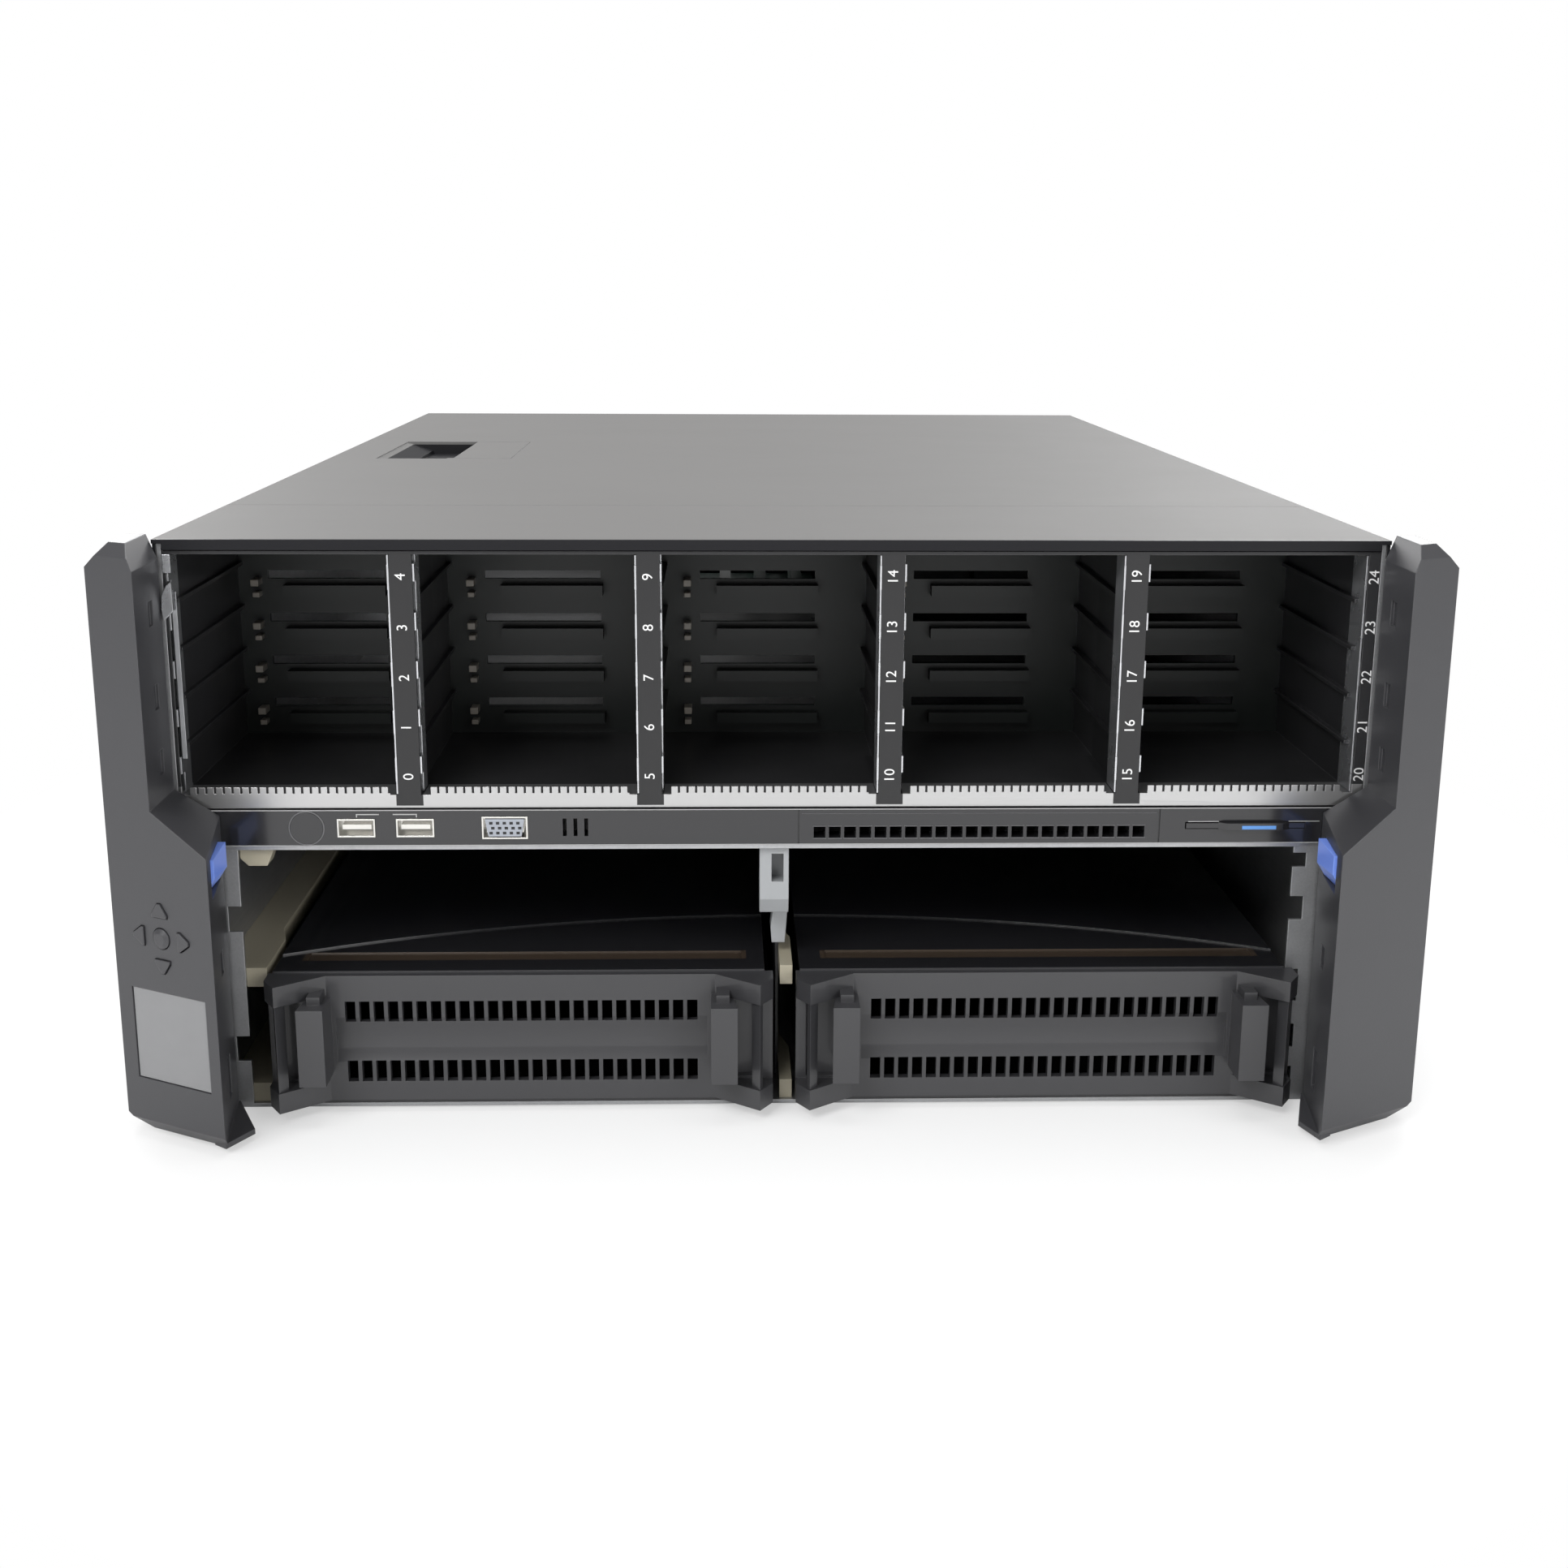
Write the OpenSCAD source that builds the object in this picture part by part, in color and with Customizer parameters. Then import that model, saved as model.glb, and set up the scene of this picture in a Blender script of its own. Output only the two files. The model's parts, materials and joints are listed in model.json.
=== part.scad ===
// Blade server chassis, 5U rack type: an upper section with drive bays, power
// supplies and card slots over a blade bay in front and a blower row behind.
// Frame: X to the right seen from the front, Y from front to back, Z up, millimetres.

/* [Chassis] */
// Depth from the front plane to the rear panel
chassis_d = 686; // [660:1:740]
// Width across the top cover
cover_w = 448; // [446:1:456]
// Width of the lower section
lower_w = 424; // [420:1:430]
// Height from the base to the top of the cover
chassis_h = 219; // [218:1:226]
// Height of the underside of the deck between the two sections
deck_z = 103; // [103:0.5:106]
// Thickness of the sheet steel
sheet = 1.5; // [1:0.1:1.8]
// Thickness of the sliding top cover
cover_t = 1.2; // [0.8:0.1:1.6]
// Height of the top cover's side and rear lips
cover_lip = 7; // [4:0.5:10]
// Depth of the fixed strip of cover at the front
front_strip_d = 111; // [80:1:150]

/* [Fits] */
// Clearance between pieces that slide past each other
fit = 0.3; // [0.2:0.05:0.5]
// Radial clearance of a shaft or pin in its bore
run_fit = 0.05; // [0.02:0.01:0.1]

/* [Drive bay] */
// Columns of drive slots
drive_cols = 5; // [3:1:5]
// Rows of drive slots
drive_rows = 5; // [3:1:5]
// Spacing of the drive columns
drive_pitch = 89.2; // [86:0.1:90]
// Width of a divider between drive columns
divider_w = 8.4; // [7:0.1:10]
// Depth of the drive cage in front of its backplane
cage_d = 105; // [90:1:120]
// Sideways shift of the drive bay's centre
drive_bay_x = -2.2; // [-3:0.1:-1.5]

/* [Control strip] */
// Height of the strip under the drive bay
strip_h = 13.9; // [13:0.1:16]
// Depth of the strip
strip_d = 9; // [8:0.5:14]
// Radius of the power button
power_r = 6.1; // [4:0.1:6.3]
// Travel of the power button
power_travel = 1.5; // [0.5:0.1:2]
// Length of the pull-out information tag
tag_l = 80; // [50:1:90]

/* [Rack ears] */
// Width across both ears
ear_span = 482.4; // [481:0.1:484]
// Angle of the ear's front face to the chassis front
ear_angle = 29.4; // [22:0.1:32]
// How far the ear's outer edge stands in front of the chassis
ear_reach = 23.5; // [20:0.5:30]
// Width of the ear's lower part, seen from the front
ear_wide_w = 41.2; // [38:0.1:41.5]
// Width of the ear's upper part, seen from the front
ear_narrow_w = 19.3; // [18:0.1:20]
// Height of the top of the ear
ear_top = 221; // [220:0.5:222]
// Side of the status display
lcd_side = 34.8; // [28:0.1:36]
// Travel of the navigation buttons
nav_travel = 0.8; // [0.4:0.1:1.2]

/* [Blade bay] */
// Depth of the blade bay in front of the midplane
bay_d = 495; // [440:1:500]
// Height of the blank's sheet tray
blank_h = 54; // [50:0.5:58]
// Width of a grille hole in the blank
grille_hole = 3.9; // [3:0.1:4.2]
// Spacing of the grille holes in the blank
grille_pitch = 5.4; // [5:0.1:6]
// How far the blank's handles stand forward
handle_reach = 17; // [12:0.5:22]

/* [Power supplies] */
// Width of a power supply
psu_w = 84.6; // [80:0.1:85]
// Depth of a power supply
psu_d = 185; // [150:1:200]
// Spacing of the two power supply columns
psu_pitch = 87.6; // [87:0.1:88]
// Height left between the power supplies and the top of the shell
psu_head = 11.1; // [10.5:0.1:14]
// How far the power supply handle stands out
psu_handle_reach = 22; // [18:0.5:26]

/* [Blowers] */
// Width of a blower module
blower_w = 101.4; // [98:0.1:102]
// Spacing of the blower modules
blower_pitch = 105.6; // [105.2:0.1:106]
// Height of a blower module
blower_h = 99.2; // [96:0.1:99.6]
// Depth of a blower module
blower_d = 160; // [150:1:170]
// Wall of the blower housing
blower_wall = 2.2; // [1.6:0.1:2.8]
// Radius of the blower wheel
wheel_r = 42; // [36:0.5:43]
// Height of the blower wheel
wheel_h = 66; // [50:1:70]
// Vanes on the blower wheel
vanes = 32; // [20:1:36]

/* [Card slots] */
// Spacing of the low profile card slots
lp_pitch = 23.2; // [22:0.1:24]
// Width of a card slot
slot_w = 12.8; // [11:0.1:13.5]
// Depth of the recess round the low profile slots
lp_recess = 12; // [8:0.5:16]
// Side of a square ventilation hole
vent_hole = 5.8; // [4:0.1:6]

/* [Hidden] */
$fn = 48;

steel = [0.62, 0.63, 0.64];
galvanised = [0.70, 0.71, 0.72];
dark_paint = [0.33, 0.33, 0.34];
charcoal = [0.22, 0.22, 0.24];
black = [0.10, 0.10, 0.11];
orange = [0.95, 0.42, 0.15];
blue = [0.30, 0.45, 0.85];
board_green = [0.05, 0.25, 0.15];

// Upper section
lip_t = cover_t;
shell_x = cover_w / 2 - lip_t - fit;
shell_in = shell_x - sheet;
shell_top = chassis_h - cover_t - fit;
deck_top = deck_z + sheet;
rear_in = chassis_d - sheet;
upper_h = shell_top - deck_top;

// Lower section
lower_x = lower_w / 2;
lower_in = lower_x - sheet;
lower_d = chassis_d - 4;
flange_left = -200.7;
flange_right = 196.3;

// Drive bay
strip_z = deck_top + 0.4;
cage_z = strip_z + strip_h + fit;
cage_floor = cage_z + 5;
cage_roof = shell_top - 3.9;
drive_row_h = (cage_roof - cage_floor) / drive_rows;
col_w = drive_pitch - divider_w;
cage_right = shell_in - fit;
cage_wall = 1;

// Ears
ear_x = ear_span / 2;
ear_inner_x = ear_x - ear_wide_w;
ear_foot_z = 2;
ear_front = ear_reach + (ear_x - ear_inner_x) * tan(ear_angle);
ear_narrow_x = ear_x - ear_narrow_w;
ear_back_x = ear_inner_x + 6;
ear_split_z = deck_z + 10;
ear_back = 1.5 + fit;
bracket_t = 1.6;
bracket_l = 70;
face_w = (ear_x - ear_inner_x) / cos(ear_angle);
nav_s = 23.3;
nav_z = 80.2;
nav_gap = 10.4;
lcd_s = 7;
lcd_z = 24.4;

// Blanks
blank_z = sheet + fit;
bay_right = min(ear_inner_x - 1.2, lower_in - 11.7);
blank_w = bay_right - 7.8;
blank_x = [-1 - blank_w, 7.8];
bezel_z = 4.2;
bezel_h = blank_h - 3.6;
bezel_t = 4;
flare = 22;

// Power supplies, counted from the top left seen from behind
psu_gap = 1.4;
shelf_t = 0.8;
io_z = deck_z + 5;
io_h = 18.6;
psu_z0 = io_z + io_h + shelf_t + 2 * fit + 0.6;
psu_h = (shell_top - psu_head - psu_z0 - psu_gap) / 2;
psu_right = shell_in - fit - 0.2;
psu_left = psu_right - psu_pitch - psu_w;
psu_x = [for (n = [0 : 3]) psu_right - psu_w - (n % 2) * psu_pitch];
psu_z = [for (n = [0 : 3]) psu_z0 + (n < 2 ? 1 : 0) * (psu_h + psu_gap)];
psu_sheet = 1;
fan_x = psu_w - 20.5;
fan_opening = psu_h - 2.2;
fan_screw_pitch = psu_h - 6.2;
rotor_r = psu_h / 2 - 2.5;
fan_hub_r = 0.56 * rotor_r;
fan_frame_w = psu_h - 0.2;
fan_frame_d = 11;
fan_pin_r = 1.5;
inlet_x = 9;
inlet_w = 23;
inlet_h = psu_h - 6.2;
latch_x = 6;
latch_pin_r = 1.2;
latch_pin_y = 6;
pad_x = 7.7;
pad_w = 7.2;
grip_x = 32.3;
grip_w = 12.4;
strap_t = 1.5;
strap_w = 19;

// Blowers, counted from the left seen from behind
blower_z = sheet + fit;
blower_cx = [for (n = [0 : 3]) (1.5 - n) * blower_pitch];
blower_rim = 4.6;
blower_rim_d = 5;
axle_r = 4;
wheel_gap = 0.3;
hub_r = 11;

// Card slots
lp_x0 = 28.2;
lp_bottom = deck_z + 20.3;
lp_slot_h = shell_top - 27.8 - lp_bottom;
lp_bar_pitch = lp_slot_h / 8;
lp_bar_hole = 0.675 * lp_bar_pitch;
filler_pitch = 0.097 * lp_slot_h;
lp_count = 5;
lp_back = chassis_d - lp_recess;
lp_left = -88;
lp_right = 44.4;
fh_left = -195.6;
fh_slot_l = 100.8;
fh_bottom = deck_z + 38;
fh_slot_h = slot_w - 0.6;
fh_count = 3;
fh_top = shell_top - 15.3;
fh_pitch = (fh_top + 9 - fh_bottom) / fh_count;
fh_recess = 3;
mm_left = -196.2;
mm_right = -89.8;
mm_z = deck_z + 7;
mm_h = 22.6;

// Top cover latch
pocket_x = -200;
pocket_y = 330;
pocket_w = 70;
pocket_l = 110;
pocket_depth = 7;
lever_x = -160;
lever_w = 30 - 2 * fit;
lever_barrel = 2.4;
lever_pin_r = 1.2;

// The origin lies under the middle of the whole assembly's depth
rear_reach = chassis_d + psu_handle_reach + strap_t;
mid_y = (rear_reach - ear_front) / 2;

// ---- helpers ----

// A flat shape drawn in X and Z, from y to y + t
module plate_y(y, t) translate([0, y + t, 0]) rotate([90, 0, 0]) linear_extrude(t) children();

// A flat shape drawn in Y and Z, from x to x + t
module plate_x(x, t) translate([x, 0, 0]) rotate([90, 0, 90]) linear_extrude(t) children();

// A flat shape drawn in X and Y, from z to z + t
module plate_z(z, t) translate([0, 0, z]) linear_extrude(t) children();

// A box between two corners
module block(a, b) translate(a) cube(b - a);

// A rectangle between two corners
module rect(a, b) translate(a) square(b - a);

// A rod along Y from y0 to y1
module rod_y(x, z, r, y0, y1) translate([x, y0, z]) rotate([-90, 0, 0]) cylinder(r = r, h = y1 - y0);

// A grid of square holes whose first corner is at p
module hole_grid(p, count, pitch, side)
    for (i = [0 : count[0] - 1], j = [0 : count[1] - 1])
        translate(p + [i * pitch[0], j * pitch[1]]) square(side);

// A rectangle with cut corners
module octagon(w, h, c)
    polygon([
        [-w / 2 + c, -h / 2], [w / 2 - c, -h / 2], [w / 2, -h / 2 + c], [w / 2, h / 2 - c],
        [w / 2 - c, h / 2], [-w / 2 + c, h / 2], [-w / 2, h / 2 - c], [-w / 2, -h / 2 + c]
    ]);

// ---- lower section ----

right_notches = [[4, 10], [22, 9.5], [41, 13], [74, 9.3], [95, 5.6]];
left_notches = [[19, 10], [71, 10]];
notch_d = 5;

module front_flange(x0, x1, inner, notches)
    plate_y(0, sheet) difference() {
        rect([x0, 0], [x1, deck_z]);
        for (n = notches) translate([inner - notch_d, n[0]]) square([2 * notch_d, n[1]]);
    }

module base_tray() color(galvanised) {
    difference() {
        block([-lower_x, 0, 0], [lower_x, lower_d, deck_z]);
        block([-lower_in, -1, sheet], [lower_in, lower_d + 1, deck_z + 1]);
    }
    front_flange(-lower_x, flange_left, flange_left, left_notches);
    front_flange(flange_right, lower_x, flange_right, right_notches);
}

rail_h = 7.5;
rail_l = 300;
divider_t = 1.2;
divider_x = 0.6;
divider_h = 66;
rail_front = 2;

module guide_rail(x0, x1, z)
    plate_z(z, rail_h)
        polygon([
            [x0, rail_front], [x1, rail_front], [x1, 36], [x1 - 3.5, 50],
            [x1 - 3.5, rail_l], [x0, rail_l]
        ]);

module bay_guides() {
    color([0.75, 0.70, 0.58]) {
        for (z = [sheet, blank_z + blank_h - rail_h]) {
            guide_rail(-lower_in, blank_x[0] - 1.2, z);
            guide_rail(divider_x + divider_t, blank_x[1] - 1.2, z);
        }
        plate_y(3, 10)
            polygon([
                [flange_left, deck_z], [flange_left, deck_z - 4], [flange_left + 3, deck_z - 7],
                [flange_left + 10, deck_z - 7], [flange_left + 13, deck_z]
            ]);
    }
    color([0.55, 0.56, 0.58]) {
        difference() {
            plate_x(-6, 11)
                polygon([
                    [3, deck_z], [3, deck_z - 21], [6, deck_z - 27],
                    [12, deck_z - 27], [16, deck_z - 14], [16, deck_z]
                ]);
            block([-1.5, 2, deck_z - 14], [3, 12, deck_z - 3]);
        }
        plate_y(divider_front - 9, 9)
            polygon([
                [-1, divider_h - 6], [-1.5, divider_h], [-0.5, divider_h + 8],
                [5, divider_h + 8], [4.5, divider_h], [4, divider_h - 6]
            ]);
    }
}

divider_front = 26;

module bay_divider() color(dark_paint) {
    plate_x(divider_x, divider_t)
        polygon([
            [divider_front, sheet], [divider_front, divider_h], [120, divider_h],
            [140, deck_z], [bay_d, deck_z], [bay_d, sheet]
        ]);
}

// ---- blanks ----

arc_r = 420;
arc_top = 65;

module blank_grille_row(z, h, count, x0)
    for (i = [0 : count - 1]) translate([x0 + i * grille_pitch, z]) square([grille_hole, h]);

// One end of the bezel in plan: it flares forward to the handle's corner
module blank_end_plan(x_in, x_out)
    polygon([
        [x_in, -fit], [x_in, -bezel_t], [x_out - sign(x_out - x_in) * 5, -handle_reach],
        [x_out, -handle_reach + 8], [x_out, -fit]
    ]);

module blank_end(x_in, x_out, top) {
    side = sign(x_out - x_in);
    bar = 8;
    // top and bottom arms of the handle
    plate_z(bezel_z, bar) blank_end_plan(x_in, x_out);
    plate_z(top - bar, bar) blank_end_plan(x_in, x_out);
    // the thin upright that joins them
    plate_z(bezel_z + bar, top - bezel_z - 2 * bar)
        polygon([
            [x_out - side * 8, -handle_reach + 4.5], [x_out - side * 5, -handle_reach + 0.8],
            [x_out - side * 4, -handle_reach + 3.5], [x_out - side * 6.5, -handle_reach + 7]
        ]);
    // the thumb block beside the grille
    grip_in = x_in - side * 1.5;
    plate_z(bezel_z + 12, top - bezel_z - 20)
        polygon([
            [grip_in, -bezel_t], [grip_in, -handle_reach - 3], [grip_in + side * 10, -handle_reach - 3],
            [grip_in + side * 8, -bezel_t]
        ]);
    plate_z(top - bezel_z - 3.8, 3)
        polygon([
            [grip_in + side * 2, -bezel_t], [grip_in + side * 2, -handle_reach + 3],
            [grip_in + side * 7, -handle_reach + 3], [grip_in + side * 7, -bezel_t]
        ]);
}

module blank(x0) {
    x1 = x0 + blank_w;
    top = bezel_z + bezel_h;
    mid = bezel_z + bezel_h / 2;
    grille_l = blank_w - 2 * flare - 10;
    holes = floor(grille_l / grille_pitch);
    hole_x = x0 + blank_w / 2 - (holes * grille_pitch - grille_pitch + grille_hole) / 2;
    color(charcoal) {
        difference() {
            plate_y(-bezel_t, bezel_t - fit) difference() {
                rect([x0, bezel_z], [x1, top]);
                blank_grille_row(mid + 6.5, 8.4, holes, hole_x);
                blank_grille_row(mid - 17.5, 8.4, holes, hole_x);
                rect([x0 + 4, bezel_z + 9], [x0 + flare - 3, top - 9]);
                rect([x1 - flare + 3, bezel_z + 9], [x1 - 4, top - 9]);
            }
            // the hollow band between the two rows
            translate([x0 + flare + 3, -bezel_t - 19, mid - 0.5]) rotate([0, 90, 0])
                cylinder(r = 21, h = blank_w - 2 * flare - 6, $fn = 96);
        }
        blank_end(x0 + flare, x0, top);
        blank_end(x1 - flare, x1, top);
        // back wall of the two finger pockets
        for (x = [x0 + 2, x1 - flare])
            block([x, -fit, bezel_z + 4], [x + flare - 4, 2.4, top - 4]);
    }
    color(black) difference() {
        block([x0 + 1.5, -fit, blank_z], [x1 - 3.2, bay_d - 6, blank_z + blank_h]);
        block([x0 + 2.5, 4, blank_z + 1], [x1 - 4.2, bay_d, blank_z + blank_h - 1.6]);
        // the front wall is open behind the grille
        block([x0 + flare + 2, -1, bezel_z + 5], [x1 - flare - 2, 5, top - 3]);
        // the lid steps down in front of a shallow arc
        plate_z(blank_z + blank_h - 0.6, 2) difference() {
            rect([x0, -5], [x1, arc_top + 5]);
            translate([3, arc_top - arc_r]) difference() {
                circle(r = 2 * arc_r, $fn = 128);
                circle(r = arc_r, $fn = 256);
            }
        }
        // a groove across the lid near its front edge
        block([x0 + 12, 12, blank_z + blank_h - 1.1], [x1 - 12, 21, blank_z + blank_h + 1]);
    }
}

module blank_left() blank(blank_x[0]);
module blank_right() blank(blank_x[1]);

// ---- upper section ----

rail_w = 10;

module upper_shell() color(galvanised) difference() {
    block([-shell_x, 0, deck_z], [shell_x, rear_in, shell_top]);
    block([-shell_in, -1, deck_top], [shell_in, rear_in + 1, shell_top - sheet]);
    block([-shell_in + rail_w, -1, deck_top], [shell_in - rail_w, rear_in + 1, shell_top + 1]);
}

module front_cover() color(dark_paint) {
    x = cover_w / 2;
    difference() {
        block([-x, -cover_t, chassis_h - cover_lip], [x, front_strip_d, chassis_h]);
        block([-shell_x - fit, -0.001, 0], [shell_x + fit, front_strip_d + 1, shell_top]);
        block([-x - 1, -cover_t - 1, 0], [-shell_x + 2, 0, shell_top]);
        block([shell_x - 2, -cover_t - 1, 0], [x + 1, 0, shell_top]);
        block([-x, -cover_t - 1, 0], [x, -0.001, chassis_h - 3.8]);
    }
}

module top_cover() color(dark_paint) {
    x = cover_w / 2;
    y0 = front_strip_d + 2 * fit;
    y1 = chassis_d + fit + lip_t;
    lever_z = chassis_h - lever_barrel;
    difference() {
        union() {
            difference() {
                block([-x, y0, chassis_h - cover_lip], [x, y1, chassis_h]);
                block([-x + lip_t, y0 - 1, 0], [x - lip_t, chassis_d + fit, chassis_h - cover_t]);
            }
            // the pan of the latch pocket
            block([pocket_x - 1.2, pocket_y - 1.2, chassis_h - pocket_depth - 1.2],
                  [pocket_x + pocket_w + 1.2, pocket_y + pocket_l + 1.2, chassis_h - cover_t / 2]);
        }
        block([pocket_x, pocket_y, chassis_h - pocket_depth],
              [pocket_x + pocket_w, pocket_y + pocket_l, chassis_h + 1]);
        // bores of the latch pivot
        translate([lever_x - 10, pocket_y + lever_barrel + fit, lever_z]) rotate([0, 90, 0])
            cylinder(r = lever_pin_r + run_fit, h = pocket_x + pocket_w + 2 - lever_x + 10);
    }
    // the sloped fill on the pocket's outer side
    plate_y(pocket_y, pocket_l)
        polygon([
            [pocket_x, chassis_h - pocket_depth], [pocket_x + 14, chassis_h - pocket_depth],
            [pocket_x + 14, chassis_h - 5], [pocket_x, chassis_h - 0.6]
        ]);
    // the bearing lug beside the lever
    difference() {
        block([lever_x - 4, pocket_y, chassis_h - pocket_depth],
              [lever_x - fit, pocket_y + 8, chassis_h - 0.4]);
        translate([lever_x - 5, pocket_y + lever_barrel + fit, lever_z]) rotate([0, 90, 0])
            cylinder(r = lever_pin_r + run_fit, h = 6);
    }
}

module cover_latch() color(dark_paint) {
    lever_z = chassis_h - lever_barrel;
    y = pocket_y + lever_barrel + fit;
    x1 = pocket_x + pocket_w - fit;
    translate([lever_x, y, lever_z]) rotate([0, 90, 0]) cylinder(r = lever_barrel, h = x1 - lever_x);
    translate([lever_x - 3, y, lever_z]) rotate([0, 90, 0])
        cylinder(r = lever_pin_r, h = x1 - lever_x + 4);
    block([lever_x, y, chassis_h - 1.8], [x1, pocket_y + pocket_l - 3 * fit, chassis_h]);
    block([lever_x, y + 20, chassis_h - 4.5], [lever_x + 1.6, pocket_y + pocket_l - 14, chassis_h]);
}

// ---- drive bay ----

module drive_divider(x, w) {
    h = cage_roof - cage_floor;
    core = w - 4;
    // the nose that carries the slot numbers
    block([x - w / 2, 0, cage_floor], [x + w / 2, 7, cage_roof]);
    block([x - core / 2, 7, cage_floor], [x + core / 2, cage_d, cage_roof]);
    for (r = [1 : drive_rows - 1])
        block([x - w / 2, 7, cage_floor + r * drive_row_h - 0.7],
              [x + w / 2, cage_d, cage_floor + r * drive_row_h + 0.7]);
}

gasket_pitch = 3.2;
gasket_h = 3;

// Spring fingers along the bottom of a column, as one comb outline
module gasket(x0, x1) {
    n = floor((x1 - x0 - 4) / gasket_pitch);
    g0 = (x0 + x1) / 2 - n * gasket_pitch / 2;
    tip = cage_floor + gasket_h;
    root = cage_floor + 0.6;
    comb = [for (i = [0 : n - 1]) let (x = g0 + i * gasket_pitch) each [
        [x, tip], [x + 0.75 * gasket_pitch, tip],
        [x + 0.75 * gasket_pitch, root], [x + gasket_pitch, root]
    ]];
    plate_y(0, 0.8)
        polygon(concat([[g0 + n * gasket_pitch, cage_floor], [g0, cage_floor]], comb));
}

module drive_cage() color(galvanised) {
    first = drive_bay_x - (drive_cols - 1) / 2 * drive_pitch;
    right_end = first + (drive_cols - 0.5) * drive_pitch - divider_w / 2;
    left_end = max(-cage_right + cage_wall, first - drive_pitch / 2 + divider_w / 2);
    difference() {
        block([-cage_right, 0, deck_top], [cage_right, cage_d + 3, cage_roof + 1.2]);
        block([left_end, -1, cage_floor], [right_end, cage_d + 4, cage_roof]);
        block([-cage_right + cage_wall, -1, deck_top - 1],
              [cage_right - cage_wall, cage_d + 4, cage_floor - 1.4]);
        block([-cage_right - 1, -1, deck_top - 1], [cage_right + 1, strip_d + 2, cage_z]);
    }
    // the lip under the front edge of the floor
    block([-cage_right, 0, cage_z], [cage_right, 1.4, cage_floor]);
    for (c = [0 : drive_cols - 2]) drive_divider(first + (c + 0.5) * drive_pitch, divider_w);
    for (r = [1 : drive_rows - 1]) {
        z = cage_floor + r * drive_row_h;
        block([left_end, 7, z - 0.7], [left_end + 2, cage_d, z + 0.7]);
        block([right_end - 2, 7, z - 0.7], [right_end, cage_d, z + 0.7]);
    }
    for (c = [0 : drive_cols - 1]) {
        x = first + (c - 0.5) * drive_pitch + divider_w / 2;
        gasket(max(x, left_end), x + col_w);
    }
}

module drive_backplane() color(board_green) {
    first = drive_bay_x - (drive_cols - 1) / 2 * drive_pitch;
    right_end = first + (drive_cols - 0.5) * drive_pitch - divider_w / 2;
    left_end = max(-cage_right + cage_wall, first - drive_pitch / 2 + divider_w / 2);
    plate_y(cage_d, 2.4) difference() {
        rect([left_end, cage_floor], [right_end, cage_roof]);
        for (c = [0 : drive_cols - 1], r = [0 : drive_rows - 1])
            translate([first + c * drive_pitch - 27, cage_floor + r * drive_row_h + 11.5]) square([48, 3.5]);
    }
    // one connector for each slot
    for (c = [0 : drive_cols - 1], r = [0 : drive_rows - 1])
        block([first + c * drive_pitch - 20, cage_d - 6, cage_floor + r * drive_row_h + 5],
              [first + c * drive_pitch + 22, cage_d, cage_floor + r * drive_row_h + 9.5]);
}

// ---- control strip ----

power_x = -174.3;
power_z = strip_z + strip_h / 2;
usb_x = [-156, -134.2];
usb_w = 14;
usb_h = 7;
vga_x = -101;
vga_w = 17;
vga_h = 8.6;
tag_x = 154.3;
tag_w = 45;
tag_t = 2;
tag_z = strip_z + strip_h / 2 - tag_t / 2;

module control_strip() color(black) {
    x1 = shell_in - fit;
    difference() {
        plate_y(-1.5, strip_d) difference() {
            rect([-x1, strip_z], [x1, strip_z + strip_h]);
            for (x = usb_x) translate([x - usb_w / 2, power_z - usb_h / 2]) square([usb_w, usb_h]);
            translate([vga_x - vga_w / 2, power_z - vga_h / 2]) square([vga_w, vga_h]);
            for (i = [0 : 2]) translate([-79.5 + i * 4, power_z - 3.4]) square([1.4, 6.8]);
            hole_grid([14.1, power_z - 4.4], [22, 1], [5.72, 0], 4.4);
            translate([tag_x - fit, tag_z - fit]) square([tag_w + 2 * fit, tag_t + 2 * fit]);
        }
        rod_y(power_x, power_z, power_r + fit, -2, strip_d);
        // seams between the strip's three lengths
        for (x = [8.2, 143.9]) block([x, -1.6, strip_z - 1], [x + 0.5, -0.9, strip_z + strip_h + 1]);
    }
    // guides behind the power button and the tag
    difference() {
        block([power_x - 9, strip_d - 1.5, strip_z], [power_x + 9, strip_d + 0.5, strip_z + strip_h]);
        rod_y(power_x, power_z, 2 + run_fit, strip_d - 2, strip_d + 1);
    }
    difference() {
        block([tag_x - 2, strip_d - 1.5, tag_z - 2], [tag_x + tag_w + 2, tag_l + 2, tag_z + tag_t + 2]);
        block([tag_x - fit, strip_d - 2, tag_z - fit], [tag_x + tag_w + fit, tag_l + 3, tag_z + tag_t + fit]);
    }
}

module power_button() color(black) {
    rod_y(power_x, power_z, power_r, -2, strip_d - 1.5 - power_travel - 0.5);
    rod_y(power_x, power_z, 2, strip_d - 4, strip_d + 1.2);
}

// One metal shelled socket with its tongue
module port(x, w, h, tongue) {
    plate_y(-2, strip_d) difference() {
        translate([x - w / 2, power_z - h / 2]) square([w, h]);
        translate([x - w / 2 + 0.6, power_z - h / 2 + 0.6]) square([w - 1.2, h - 1.2]);
    }
    block([x - w / 2 + 0.6, strip_d - 4, power_z - h / 2 + 0.6],
          [x + w / 2 - 0.6, strip_d - 2, power_z + h / 2 - 0.6]);
    block([x - w / 2 + 1.6, 0, power_z - tongue / 2], [x + w / 2 - 1.6, strip_d - 3, power_z + tongue / 2]);
}

module front_ports() color(steel) {
    for (x = usb_x) port(x, usb_w, usb_h, 1.8);
    port(vga_x, vga_w, vga_h, 4.6);
}

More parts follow.
